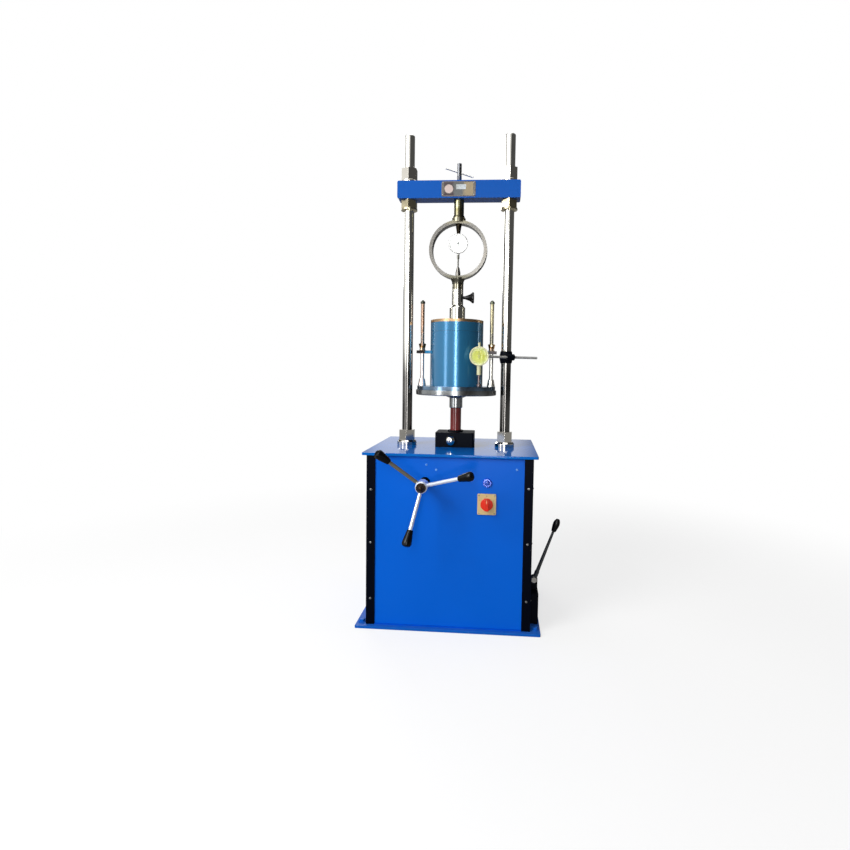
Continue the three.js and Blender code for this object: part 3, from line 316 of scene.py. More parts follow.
class SettledDust(Effect):
    """Dust that lies on faces that look up, thicker in patches."""

    name = "settled dust"
    takes = {"Colour": (TINT, GREY), "Roughness": (NUMBER, 0.3), "Amount": (NUMBER, 0.1)}
    gives = {"Colour": TINT, "Roughness": NUMBER}

    @staticmethod
    def fill(graph: Graph, given: Mapping[str, Socket]) -> dict[str, Socket]:
        """Builds the inside of the group.

        Args:
            graph: The group's graph.
            given: The group's inputs.

        Returns:
            The group's results by name.
        """
        normal = graph.add("ShaderNodeNewGeometry").outputs["Normal"]
        up = graph.parts(normal)["Z"]
        patches = graph.between(graph.noise(graph.place(), 22.0, 6.0, 0.65), 0.3, 0.75)
        mask = graph.math("MULTIPLY", graph.between(up, 0.3, 1.0), patches)
        mask = graph.math("MULTIPLY", mask, given["Amount"], clamp=True)
        dusty = graph.mix(mask, given["Colour"], linear((196, 190, 178)))
        rough = graph.math("ADD", given["Roughness"], graph.math("MULTIPLY", mask, 0.8), clamp=True)
        return {"Colour": dusty, "Roughness": rough}


class ToolMarks(Effect):
    """Fine parallel marks across one direction, as turning, grinding or drawing leaves them."""

    name = "tool marks"
    takes = {
        "Colour": (TINT, GREY),
        "Direction": (ARROW, (0.0, 0.0, 1.0)),
        "Spacing": (NUMBER, 2500.0),
        "Roughness": (NUMBER, 0.2),
        "Spread": (NUMBER, 0.1),
        "Stain": (TINT, GREY),
        "Staining": (NUMBER, 0.2),
    }
    gives = {"Colour": TINT, "Roughness": NUMBER, "Height": NUMBER}

    @staticmethod
    def fill(graph: Graph, given: Mapping[str, Socket]) -> dict[str, Socket]:
        """Builds the inside of the group.

        Args:
            graph: The group's graph.
            given: The group's inputs.

        Returns:
            The group's results by name.
        """
        place = graph.place()
        along = graph.vector("DOT_PRODUCT", place, given["Direction"]).outputs["Value"]
        flat = graph.add("ShaderNodeCombineXYZ", {"X": graph.math("MULTIPLY", along, given["Spacing"])})
        marks = graph.noise(flat.outputs[0], 1.0, 3.0, 0.7)
        cloud = graph.noise(place, 38.0, 4.0, 0.6)
        both = graph.math("ADD", graph.math("SUBTRACT", marks, 0.5), graph.math("SUBTRACT", cloud, 0.5))
        offset = graph.math("MULTIPLY", both, given["Spread"])
        rough = graph.math("ADD", given["Roughness"], offset, clamp=True)
        stain = graph.between(graph.noise(place, 11.0, 5.0, 0.65), 0.45, 0.8)
        stain = graph.math("MULTIPLY", stain, given["Staining"])
        tinted = graph.mix(stain, given["Colour"], given["Stain"])
        return {"Colour": tinted, "Roughness": rough, "Height": marks}


class FineGrain(Effect):
    """The small pits and grains of cast iron, moulded plastic or rubber."""

    name = "fine grain"
    takes = {
        "Colour": (TINT, GREY),
        "Tone": (NUMBER, 0.2),
        "Scale": (NUMBER, 500.0),
        "Roughness": (NUMBER, 0.5),
        "Spread": (NUMBER, 0.1),
    }
    gives = {"Colour": TINT, "Roughness": NUMBER, "Height": NUMBER}

    @staticmethod
    def fill(graph: Graph, given: Mapping[str, Socket]) -> dict[str, Socket]:
        """Builds the inside of the group.

        Args:
            graph: The group's graph.
            given: The group's inputs.

        Returns:
            The group's results by name.
        """
        place = graph.place()
        inputs = {"Vector": place, "Scale": given["Scale"]}
        pits = graph.add("ShaderNodeTexVoronoi", inputs, feature="SMOOTH_F1")
        broad = graph.noise(place, 30.0, 5.0, 0.6)
        grain = graph.math("ADD", graph.math("MULTIPLY", pits.outputs["Distance"], 0.6), broad)
        shade = graph.around_one(graph.math("SUBTRACT", grain, 0.8), given["Tone"])
        toned = graph.scaled(given["Colour"], shade)
        offset = graph.math("MULTIPLY", graph.math("SUBTRACT", broad, 0.5), given["Spread"])
        rough = graph.math("ADD", given["Roughness"], offset, clamp=True)
        return {"Colour": toned, "Roughness": rough, "Height": grain}


@dataclass(frozen=True)
class Finish:
    """What every finish shares.

    Attributes:
        name: The material's name.
    """

    name: str

    def paint(self, graph: Graph) -> Socket:
        """Builds the finish's shader in a graph."""
        raise NotImplementedError

    def build(self) -> bpy.types.Material:
        """Makes the finish into a material.

        Returns:
            The material.
        """
        material = bpy.data.materials.new(self.name)
        material.use_nodes = True
        graph = Graph(material.node_tree)
        graph.add("ShaderNodeOutputMaterial", {"Surface": self.paint(graph)})
        return material

    @staticmethod
    def relief(graph: Graph, height: Socket, depth: float) -> Socket:
        """Returns a normal bent by a height from 0 to 1, where 1 stands for the depth."""
        return graph.add("ShaderNodeBump", {"Height": height, "Distance": depth * MM}).outputs[0]


@dataclass(frozen=True)
class Enamel(Finish):
    """Sprayed gloss paint on steel, rubbed at its edges.

    Attributes:
        colour: The paint's colour.
        bare: The colour under it.
        tone: How much the colour changes in slow patches.
        roughness: How dull it is.
        spread: How much the dullness changes.
        specular: How much it mirrors.
        coat: How much clear lacquer it has.
        peel: How deep its orange peel is.
        wear: How much of its edges is rubbed through.
        wear_radius: How far the rubbed edges reach.
        dust: How much dust it carries.
    """

    colour: Colour
    bare: Colour = (150, 150, 150)
    tone: float = 0.12
    roughness: float = 0.3
    spread: float = 0.12
    specular: float = 0.35
    coat: float = 0.0
    peel: float = 0.012
    wear: float = 0.35
    wear_radius: float = 1.2
    dust: float = 0.1
    coat_roughness: float = 0.06

    def tint(self, graph: Graph) -> Any:
        """Returns the paint's colour, or a socket with it."""
        return linear(self.colour)

    def paint(self, graph: Graph) -> Socket:
        """Builds the finish.

        Args:
            graph: The material's graph.

        Returns:
            The shader.
        """
        skin = PaintSkin.use(
            graph,
            Colour=self.tint(graph),
            Tone=self.tone,
            Roughness=self.roughness,
            Spread=self.spread,
        )
        edges = RubbedEdges.use(
            graph,
            Colour=skin["Colour"],
            Bare=linear(self.bare),
            Radius=self.wear_radius * MM,
            Amount=self.wear,
        )
        dust = SettledDust.use(graph, Colour=edges["Colour"], Roughness=skin["Roughness"], Amount=self.dust)
        return graph.add(
            "ShaderNodeBsdfPrincipled",
            {
                "Base Color": dust["Colour"],
                "Roughness": dust["Roughness"],
                "Specular IOR Level": self.specular,
                "Coat Weight": self.coat,
                "Coat Roughness": self.coat_roughness,
                "Normal": self.relief(graph, skin["Height"], self.peel),
            },
        ).outputs[0]


@dataclass(frozen=True)
class PostEnamel(Enamel):
    """Black corner posts with rails between them in the cabinet's blue.

    Attributes:
        rail: The rails' colour.
        inner: Where the posts end, along X and along Y.
    """

    rail: Colour = (3, 82, 200)
    inner: tuple[float, float] = (216.0, 177.0)

    def tint(self, graph: Graph) -> Any:
        """Tells the posts from the rails.

        Args:
            graph: The material's graph.

        Returns:
            A socket with the paint's colour.
        """
        parts = graph.parts(graph.place())
        far = [
            graph.math("GREATER_THAN", graph.math("ABSOLUTE", parts[name]), inner * MM)
            for name, inner in zip("XY", self.inner)
        ]
        return graph.mix(graph.math("MULTIPLY", *far), linear(self.rail), linear(self.colour))


@dataclass(frozen=True)
class WorkedMetal(Finish):
    """Bare or plated metal with the marks of its making.

    Attributes:
        colour: The metal's colour.
        stain: The colour of its stains.
        staining: How strong the stains are.
        direction: What its tool marks run across.
        spacing: How many tool marks there are in a metre.
        roughness: How dull it is.
        spread: How much the dullness changes.
        depth: How deep the marks are.
        dust: How much dust it carries.
    """

    colour: Colour
    stain: Colour = (120, 104, 84)
    staining: float = 0.25
    direction: Axis = Axis.Z
    spacing: float = 2500.0
    roughness: float = 0.14
    spread: float = 0.08
    depth: float = 0.004
    dust: float = 0.06

    def paint(self, graph: Graph) -> Socket:
        """Builds the finish.

        Args:
            graph: The material's graph.

        Returns:
            The shader.
        """
        marks = ToolMarks.use(
            graph,
            Colour=linear(self.colour),
            Direction=self.direction.value,
            Spacing=self.spacing,
            Roughness=self.roughness,
            Spread=self.spread,
            Stain=linear(self.stain),
            Staining=self.staining,
        )
        rough = marks["Roughness"]
        dust = SettledDust.use(graph, Colour=marks["Colour"], Roughness=rough, Amount=self.dust)
        return graph.add(
            "ShaderNodeBsdfPrincipled",
            {
                "Base Color": dust["Colour"],
                "Roughness": dust["Roughness"],
                "Metallic": 1.0,
                "Normal": self.relief(graph, marks["Height"], self.depth),
            },
        ).outputs[0]


@dataclass(frozen=True)
class ZonedMetal(Finish):
    """Metal whose colour changes along one direction. On most pieces the bands are stains from oil, heat
    and hands, and two-tone parts; on the columns and the handwheel's arms they are painted reflection and
    painted shade.

    Attributes:
        zones: Where each colour starts along the direction, with the colour.
        along: The direction.
        blend: How wide the change from one colour to the next is.
        wander: How far the change strays.
        stain: The colour of its stains.
        staining: How strong the stains are.
        spacing: How many tool marks there are in a metre.
        roughness: How dull it is.
        spread: How much the dullness changes.
        metallic: How much of it shows as bare metal under the film of oil.
        specular: How much the film mirrors.
        depth: How deep the marks are.
    """

    zones: tuple[tuple[float, Colour], ...]
    along: Axis = Axis.Z
    blend: float = 2.0
    wander: float = 3.0
    stain: Colour = (104, 92, 70)
    staining: float = 0.3
    spacing: float = 1500.0
    roughness: float = 0.3
    spread: float = 0.12
    metallic: float = 1.0
    specular: float = 0.4
    depth: float = 0.004

    def paint(self, graph: Graph) -> Socket:
        """Builds the finish.

        Args:
            graph: The material's graph.

        Returns:
            The shader.
        """
        place = graph.place()
        stray = graph.math("SUBTRACT", graph.noise(place, 60.0, 3.0), 0.5)
        reach = graph.vector("DOT_PRODUCT", place, self.along.value).outputs["Value"]
        reach = graph.math("ADD", reach, graph.math("MULTIPLY", stray, self.wander * MM))
        # Bands of colour along the direction; on the columns and the handwheel's arms these bands are
        # painted reflection and painted shade.
        colour: Any = linear(self.zones[0][1])
        for start, tint in self.zones[1:]:
            step = graph.between(reach, (start - self.blend) * MM, (start + self.blend) * MM)
            colour = graph.mix(step, colour, linear(tint))
        marks = ToolMarks.use(
            graph,
            Colour=colour,
            Direction=self.along.value,
            Spacing=self.spacing,
            Roughness=self.roughness,
            Spread=self.spread,
            Stain=linear(self.stain),
            Staining=self.staining,
        )
        return graph.add(
            "ShaderNodeBsdfPrincipled",
            {
                "Base Color": marks["Colour"],
                "Roughness": marks["Roughness"],
                "Metallic": self.metallic,
                "Specular IOR Level": self.specular,
                "Normal": self.relief(graph, marks["Height"], self.depth),
            },
        ).outputs[0]


@dataclass(frozen=True)
class Grained(Finish):
    """Cast iron, moulded plastic or rubber, by its grain.

    Attributes:
        colour: Its colour.
        bare: The colour of its rubbed edges.
        tone: How much the grain changes the colour.
        scale: How fine the grain is.
        roughness: How dull it is.
        spread: How much the dullness changes.
        depth: How deep the grain is.
        metallic: How much it looks like metal.
        specular: How much it mirrors.
        wear: How much of its edges is rubbed.
        wear_radius: How far the rubbed edges reach.
        dust: How much dust it carries.
    """

    colour: Colour
    bare: Colour = (90, 90, 92)
    tone: float = 0.2
    scale: float = 500.0
    roughness: float = 0.5
    spread: float = 0.15
    depth: float = 0.05
    metallic: float = 0.0
    specular: float = 0.4
    wear: float = 0.2
    wear_radius: float = 0.8
    dust: float = 0.12

    def paint(self, graph: Graph) -> Socket:
        """Builds the finish.

        Args:
            graph: The material's graph.

        Returns:
            The shader.
        """
        grain = FineGrain.use(
            graph,
            Colour=linear(self.colour),
            Tone=self.tone,
            Scale=self.scale,
            Roughness=self.roughness,
            Spread=self.spread,
        )
        edges = RubbedEdges.use(
            graph,
            Colour=grain["Colour"],
            Bare=linear(self.bare),
            Radius=self.wear_radius * MM,
            Amount=self.wear,
        )
        rough = grain["Roughness"]
        dust = SettledDust.use(graph, Colour=edges["Colour"], Roughness=rough, Amount=self.dust)
        return graph.add(
            "ShaderNodeBsdfPrincipled",
            {
                "Base Color": dust["Colour"],
                "Roughness": dust["Roughness"],
                "Metallic": self.metallic,
                "Specular IOR Level": self.specular,
                "Normal": self.relief(graph, grain["Height"], self.depth),
            },
        ).outputs[0]


@dataclass(frozen=True)
class MouldPaint(Finish):
    """Blue paint on the outside of a turned tube, bare steel in its bore and on its rim, and painted shade
    on the lugs' ends under the wing nuts.

    Attributes:
        colour: The paint's colour.
        bare: The steel's colour.
        rim: How high the paint reaches.
        skin_radius: How far from the tube's middle the paint starts.
        wall: From where to where the glossy wall gives way to the lugs.
        lug_shade: From where to where the painted shade under the wing nuts lies on the lugs.
        dark: The colour of the painted shade on the lugs' ends, under the wing nuts.
        stain: The colour of the steel's stains.
        rubbed: The colour of the rubbed edges.
        chip: How far the paint's upper edge strays.
        painted_metal: How much the paint looks like metal.
        specular: How much the paint mirrors.
        coat: How much clear lacquer the wall has.
        roughness: How dull the paint is.
        depth: How deep its orange peel is.
    """

    colour: Colour
    bare: Colour
    rim: float
    skin_radius: float = 83.4
    wall: tuple[float, float] = (87.0, 90.0)
    lug_shade: tuple[float, float] = (98.0, 104.0)
    dark: Colour = (30, 26, 28)
    stain: Colour = (118, 82, 48)
    rubbed: Colour = (170, 160, 140)
    chip: float = 2.4
    painted_metal: float = 0.4
    specular: float = 0.2
    coat: float = 0.8
    coat_roughness: float = 0.1
    roughness: float = 0.22
    depth: float = 0.012

    def painted(self, graph: Graph, radius: Socket, height: Socket) -> Socket:
        """Tells the painted outside from the bare bore and rim.

        Args:
            graph: The material's graph.
            radius: How far the point is from the tube's middle.
            height: How high the point is.

        Returns:
            The mask of the paint.
        """
        stray = graph.math("SUBTRACT", graph.noise(graph.place(), 120.0, 4.0), 0.5)
        uneven = graph.math("ADD", height, graph.math("MULTIPLY", stray, self.chip * MM))
        outside = graph.between(radius, (self.skin_radius - 0.3) * MM, self.skin_radius * MM)
        below = graph.between(uneven, (self.rim - 0.3) * MM, (self.rim - 1.1) * MM)
        return graph.math("MULTIPLY", outside, below)

    def paint(self, graph: Graph) -> Socket:
        """Builds the finish.

        Args:
            graph: The material's graph.

        Returns:
            The shader.
        """
        parts = graph.parts(graph.place())
        squares = [graph.math("POWER", parts[name], 2.0) for name in "XY"]
        radius = graph.math("SQRT", graph.math("ADD", *squares))
        painted = self.painted(graph, radius, parts["Z"])
        skin = PaintSkin.use(
            graph,
            Colour=linear(self.colour),
            Tone=0.22,
            Roughness=self.roughness,
            Spread=0.1,
        )
        steel = ToolMarks.use(
            graph,
            Colour=linear(self.bare),
            Spacing=1800.0,
            Roughness=0.34,
            Spread=0.14,
            Stain=linear(self.stain),
            Staining=0.6,
        )
        colour = graph.mix(painted, steel["Colour"], skin["Colour"])
        # Painted shade: the lugs' ends under the wing nuts are coloured dark.
        start, end = self.lug_shade
        colour = graph.mix(graph.between(radius, start * MM, end * MM), colour, linear(self.dark))
        near, far = self.wall
        wall = graph.math("MULTIPLY", painted, graph.between(radius, far * MM, near * MM))
        edges = RubbedEdges.use(
            graph,
            Colour=colour,
            Bare=linear(self.rubbed),
            Radius=1.2 * MM,
            Amount=0.35,
        )
        inputs = {0: painted, 2: steel["Roughness"], 3: skin["Roughness"]}
        rough = graph.add("ShaderNodeMix", inputs, data_type="FLOAT").outputs[0]
        relief = graph.mix(painted, steel["Height"], skin["Height"])
        return graph.add(
            "ShaderNodeBsdfPrincipled",
            {
                "Base Color": edges["Colour"],
                "Roughness": rough,
                "Metallic": graph.between(painted, 0.0, 1.0, 1.0, self.painted_metal),
                "Specular IOR Level": self.specular,
                "Coat Weight": graph.math("MULTIPLY", wall, self.coat),
                "Coat Roughness": self.coat_roughness,
                "Normal": self.relief(graph, relief, self.depth),
            },
        ).outputs[0]


@dataclass(frozen=True)
class DialCard(Finish):
    """A printed dial's card, a little aged towards its edge.

    Attributes:
        colour: The colour of its middle.
        aged: The colour of its edge.
        centre: Its middle.
        radius: Its radius.
        ageing: From where to where it ages, as shares of its radius.
        specular: How much it mirrors.
        depth: How deep its fibres are.
    """

    colour: Colour
    aged: Colour
    centre: Point
    radius: float
    ageing: tuple[float, float] = (0.5, 1.15)
    specular: float = 0.3
    depth: float = 0.004

    def paint(self, graph: Graph) -> Socket:
        """Builds the finish.

        Args:
            graph: The material's graph.

        Returns:
            The shader.
        """
        place = graph.place()
        middle = tuple(c * MM for c in self.centre)
        away = graph.vector("DISTANCE", place, middle).outputs["Value"]
        start, end = (share * self.radius * MM for share in self.ageing)
        fibres = graph.noise(place, 900.0, 3.0, 0.7)
        patchy = graph.between(fibres, 0.2, 0.8, 0.5, 1.0)
        ageing = graph.math("MULTIPLY", graph.between(away, start, end), patchy)
        return graph.add(
            "ShaderNodeBsdfPrincipled",
            {
                "Base Color": graph.mix(ageing, linear(self.colour), linear(self.aged)),
                "Roughness": graph.between(fibres, 0.2, 0.8, 0.5, 0.62),
                "Specular IOR Level": self.specular,
                "Normal": self.relief(graph, fibres, self.depth),
            },
        ).outputs[0]


@dataclass(frozen=True)
class ClearPane(Finish):
    """Clear plastic, which lets the light through to what is behind it.

    Attributes:
        colour: Its colour.
        smear: The colour of its smears.
        roughness: How dull it is.
        scratches: How much duller its scratches are.
        index: How much it bends the light.
        specular: How much it mirrors.
    """

    colour: Colour = (250, 252, 252)
    smear: Colour = (215, 220, 222)
    roughness: float = 0.02
    scratches: float = 0.05
    index: float = 1.15
    specular: float = 0.15

    def paint(self, graph: Graph) -> Socket:
        """Builds the finish.

        Args:
            graph: The material's graph.

        Returns:
            The shader.
        """
        marks = graph.noise(graph.place(), 220.0, 6.0, 0.75)
        smears = graph.between(marks, 0.4, 0.9, 0.0, 0.15)
        dullest = self.roughness + self.scratches
        pane = graph.add(
            "ShaderNodeBsdfPrincipled",
            {
                "Base Color": graph.mix(smears, linear(self.colour), linear(self.smear)),
                "Roughness": graph.between(marks, 0.45, 0.85, self.roughness, dullest),
                "Transmission Weight": 1.0,
                "IOR": self.index,
                "Specular IOR Level": self.specular,
            },
        ).outputs[0]
        clear = graph.add("ShaderNodeBsdfTransparent", {"Color": linear(self.colour)}).outputs[0]
        shadow = graph.add("ShaderNodeLightPath").outputs["Is Shadow Ray"]
        return graph.add("ShaderNodeMixShader", {0: shadow, 1: pane, 2: clear}).outputs[0]


class Finishes:
    """All the finishes, each built once and found by its name."""

    def __init__(self) -> None:
        """Builds every finish."""
        self.made: dict[str, bpy.types.Material] = {}
        for recipes in (self.paints(), self.castings(), self.metals(), self.zoned_metals(), self.prints()):
            for recipe in recipes:
                self.add(recipe)
        self.add(ClearPane("crystal"))

    def add(self, recipe: Finish) -> None:
        """Builds one finish."""
        self.made[recipe.name] = recipe.build()

    def __getitem__(self, name: str) -> bpy.types.Material:
        """Returns a finish by its name."""
        return self.made[name]

    @staticmethod
    def paints() -> list[Finish]:
        """Lists the painted finishes.

        Returns:
            Their recipes.
        """
        under = (60, 110, 180)
        return [
            Enamel("cabinet_blue", (2, 94, 206), under, specular=0.1, wear=0.15, dust=0.0),
            Enamel("top_blue", (5, 100, 188), under, roughness=0.09, spread=0.05, specular=0.13, dust=0.0),
            Enamel("base_blue", (14, 92, 186), (30, 60, 110), specular=0.1, wear=0.3, dust=0.04),
            Enamel("crosshead_blue", (12, 85, 174), (20, 50, 110), specular=0.12, wear=0.4, dust=0.0),
            PostEnamel("post_black", (1, 4, 16), (20, 22, 30), roughness=0.4, specular=0.05, dust=0.0),
            Enamel(
                "ram_red",
                (114, 34, 32),
                (150, 140, 132),
                roughness=0.22,
                specular=0.4,
                coat=0.4,
                wear=0.6,
            ),
            Enamel("motor_grey", (98, 110, 122), roughness=0.45, peel=0.03, dust=0.35),
            Enamel(
                "switch_yellow",
                (208, 184, 132),
                (246, 232, 196),
                roughness=0.36,
                specular=0.25,
                wear=0.2,
            ),
            Enamel("switch_red", (222, 38, 4), (236, 120, 70), roughness=0.3, specular=0.3, wear=0.3),
            Enamel("lamp_lens", (40, 80, 190), (210, 204, 240), roughness=0.12, specular=0.5, coat=0.5),
            Enamel("dial_cream", (212, 210, 168), (210, 206, 170), roughness=0.3, specular=0.4, wear=0.2),
            Enamel("needle_black", (44, 44, 40), (70, 70, 66), roughness=0.4, wear=0.1),
            Enamel("screw_blue", (84, 148, 224), (190, 206, 228), roughness=0.3, wear=0.6),
            Enamel("plate_disc", (204, 184, 178), (150, 130, 130), roughness=0.35, tone=0.4),
        ]

    @staticmethod
    def castings() -> list[Finish]:
        """Lists the finishes of cast iron, moulded plastic and rubber.

        Returns:
            Their recipes.
        """
        return [
            Grained(
                "black_iron",
                (7, 10, 18),
                roughness=0.5,
                depth=0.04,
                specular=0.05,
                wear=0.05,
                dust=0.0,
            ),
            Grained(
                "hub_brown",
                (46, 34, 26),
                roughness=0.4,
                depth=0.03,
                metallic=0.6,
                specular=0.3,
                dust=0.02,
            ),
            Grained("lever_grey", (74, 76, 78), roughness=0.34, depth=0.02, metallic=0.8),
            Grained("cast_grey", (92, 97, 102), tone=0.3, roughness=0.6, depth=0.12, metallic=0.3),
            Grained("belt_rubber", (24, 24, 25), scale=1400.0, roughness=0.78, depth=0.05, wear=0.0),
            Grained(
                "black_plastic",
                (5, 5, 6),
                scale=900.0,
                roughness=0.24,
                depth=0.01,
                wear=0.0,
                specular=0.22,
                dust=0.02,
            ),
        ]

    @staticmethod
    def metals() -> list[Finish]:
        """Lists the bare and plated metals of one colour.

        Returns:
            Their recipes.
        """
        return [
            WorkedMetal("chrome", (226, 222, 212), roughness=0.1),
            WorkedMetal("worn_chrome", (196, 186, 156), (92, 76, 50), staining=0.8, roughness=0.2),
            WorkedMetal("base_steel", (126, 152, 178), (62, 56, 44), staining=1.0, roughness=0.2),
            WorkedMetal("platen_steel", (158, 162, 164), (66, 58, 44), staining=1.0, roughness=0.2),
            WorkedMetal("bright_steel", (176, 174, 166), (112, 88, 62), roughness=0.24, spacing=1500.0),
            WorkedMetal("bronze", (190, 134, 72), (96, 70, 38), staining=0.5, roughness=0.32, spread=0.16),
            WorkedMetal("lamp_ring", (112, 130, 218), staining=0.1, direction=Axis.Y, roughness=0.2),
            WorkedMetal("dial_steel", (206, 206, 204), direction=Axis.Y, roughness=0.3, spacing=3500.0),
            WorkedMetal("screw_steel", (134, 136, 138), direction=Axis.X, roughness=0.3, spread=0.15),
            WorkedMetal("plate_metal", (98, 94, 90), roughness=0.34, spacing=3000.0),
            WorkedMetal("plate_pale", (160, 166, 170), (120, 118, 104), staining=0.7, roughness=0.4),
        ]

    @staticmethod
    def zoned_metals() -> list[Finish]:
        """Lists the metals whose colour changes along the piece.

        Returns:
            Their recipes.
        """
        return [
            # Painted reflection and painted shade: the columns are darker below and lighter above, standing
            # for the grey floor and the white room that they mirror.
            ZonedMetal(
                "column_painted_reflection",
                ((400.0, (104, 102, 100)), (800.0, (232, 230, 222))),
                blend=70.0,
                stain=(92, 90, 84),
                staining=0.25,
                spacing=2500.0,
                roughness=0.1,
                spread=0.06,
            ),
            ZonedMetal(
                "holder_chrome",
                ((880.0, (222, 220, 210)), (1018.0, (132, 128, 112))),
                staining=0.15,
                roughness=0.14,
                spread=0.06,
            ),
            # Painted reflection: the hub and the right and lower arms are a bright bluish white and the
            # upper arm a greyish khaki, standing for the room that the chrome mirrors.
            ZonedMetal(
                "arm_painted_reflection",
                ((0.0, (236, 242, 255)), (362.0, (140, 136, 122))),
                along=Axis.UPPER_ARM,
                staining=0.1,
                roughness=0.2,
                metallic=0.5,
            ),
            ZonedMetal(
                "rod_pale",
                ((0.0, (172, 170, 166)), (190.0, (196, 196, 194))),
                along=Axis.X,
                staining=0.1,
                metallic=0.25,
            ),
            ZonedMetal(
                "ring_steel",
                ((1000.0, (84, 82, 72)), (1062.0, (106, 104, 100)), (1222.0, (118, 114, 98))),
                blend=5.0,
                spacing=2500.0,
                roughness=0.3,
                spread=0.04,
                depth=0.0005,
            ),
            ZonedMetal(
                "gauge_steel",
                ((1000.0, (104, 104, 98)), (1128.0, (212, 212, 210)), (1191.0, (4, 4, 5))),
                wander=0.5,
                blend=1.0,
                roughness=0.3,
            ),
            ZonedMetal(
                "spindle_olive",
                (
                    (1200.0, (100, 96, 76)),
                    (1258.0, (96, 92, 66)),
                    (1270.0, (130, 128, 98)),
                    (1298.0, (92, 94, 98)),
                ),
                blend=6.0,
                roughness=0.26,
            ),
            ZonedMetal(
                "left_rod_metal",
                ((700.0, (244, 226, 220)), (838.0, (152, 126, 108)), (973.0, (62, 66, 58))),
                stain=(120, 82, 66),
            ),
            ZonedMetal(
                "right_rod_metal",
                ((700.0, (250, 248, 238)), (842.0, (170, 162, 132)), (973.0, (84, 90, 76))),
                stain=(142, 134, 96),
            ),
            ZonedMetal(
                "wing_brass",
                ((800.0, (150, 130, 112)), (833.0, (112, 84, 50))),
                stain=(58, 40, 28),
                staining=0.5,
            ),
            ZonedMetal(
                "stem_metal",
                ((600.0, (120, 108, 108)), (775.0, (112, 100, 98))),
                stain=(70, 58, 58),
                roughness=0.34,
            ),
            ZonedMetal(
                "plate_field",
                ((-60.0, (66, 54, 60)), (-16.0, (96, 98, 98)), (18.0, (148, 134, 108))),
                along=Axis.X,
                wander=22.0,
                blend=5.0,
                stain=(60, 62, 54),
                staining=0.7,
                roughness=0.5,
                metallic=0.3,
            ),
        ]

    @staticmethod
    def prints() -> list[Finish]:
        """Lists the inks of lines and figures.

        Returns:
            Their recipes.
        """
        inks = {
            "print_black": ((22, 22, 24), (60, 60, 60), 0.5),
            "print_grey": ((160, 160, 158), (200, 200, 198), 0.5),
            "print_olive": ((128, 128, 52), (180, 180, 90), 0.5),
            "mark_white": ((244, 170, 130), (236, 120, 80), 0.45),
        }
        return [
            Enamel(name, colour, bare, roughness=roughness, wear=0.1)
            for name, (colour, bare, roughness) in inks.items()
        ]


class Smoothing:
    """Turns a faceted mesh into one with round faces, crisp corners and small broken edges.

    Attributes:
        group: The node group, once it is made.
        corner: From which angle an edge stays sharp.
        broken: From which angle an edge is broken.
        level: Up to which angle two faces count as one flat face.
        seam: How near each other two points are to be one, in millimetres.
    """

    group: bpy.types.NodeTree | None = None
    corner = math.radians(38)
    broken = math.radians(40)
    level = math.radians(0.6)
    seam = 0.005

    @classmethod
    def by_angle(cls) -> bpy.types.NodeTree:
        """Makes the node group that keeps only sharp corners sharp, on its first use.

        Returns:
            The node group.
        """
        if cls.group is None:
            tree = bpy.data.node_groups.new("smooth by angle", "GeometryNodeTree")
            for way in ("INPUT", "OUTPUT"):
                tree.interface.new_socket("Geometry", in_out=way, socket_type="NodeSocketGeometry")
            graph = Graph(tree)
            inputs = {"Geometry": graph.add("NodeGroupInput").outputs[0], "Shade Smooth": True}
            round_faces = graph.add("GeometryNodeSetShadeSmooth", inputs, domain="FACE").outputs[0]
            angle = graph.add("GeometryNodeInputMeshEdgeAngle").outputs["Unsigned Angle"]
            sides = {0: angle, 1: cls.corner}
            sharp = graph.add("FunctionNodeCompare", sides, data_type="FLOAT", operation="GREATER_THAN")
            inputs = {"Geometry": round_faces, "Selection": sharp.outputs[0], "Shade Smooth": False}
            crisp = graph.add("GeometryNodeSetShadeSmooth", inputs, domain="EDGE")
            graph.add("NodeGroupOutput", {0: crisp.outputs[0]})
            cls.group = tree
        return cls.group

    @classmethod
    def apply(cls, piece: bpy.types.Object, edge: float, flat: bool = True) -> None:
        """Adds the modifiers to a piece.

        Args:
            piece: The piece to smooth.
            edge: The width of its broken edges, or 0 for none.
            flat: Whether its triangles are first joined into flat faces.
        """
        if "custom_normal" in piece.data.attributes:
            piece.data.attributes.remove(piece.data.attributes["custom_normal"])
        if flat:
            weld = piece.modifiers.new("weld", "WELD")
            weld.merge_threshold = cls.seam * MM
            faces = piece.modifiers.new("faces", "DECIMATE")
            faces.decimate_type = "DISSOLVE"
            faces.angle_limit = cls.level
        if edge:
            bevel = piece.modifiers.new("edges", "BEVEL")
            bevel.width = edge * MM
            bevel.segments = 2
            bevel.limit_method = "ANGLE"
            bevel.angle_limit = cls.broken
            bevel.use_clamp_overlap = True
        smooth = piece.modifiers.new("smooth", "NODES")
        smooth.node_group = cls.by_angle()
        weighted = piece.modifiers.new("weighted", "WEIGHTED_NORMAL")
        weighted.keep_sharp = True


@dataclass(frozen=True)
class Ring:
    """One ring of a turned shape.

    Attributes:
        radius: Its radius, to a corner where it has corners.
        height: Its place along the axis.
        sides: The number of its flats, or 0 where it is round.
        ripple: How deep its ribs are.
    """

    radius: float
    height: float
    sides: int = 0
    ripple: float = 0.0


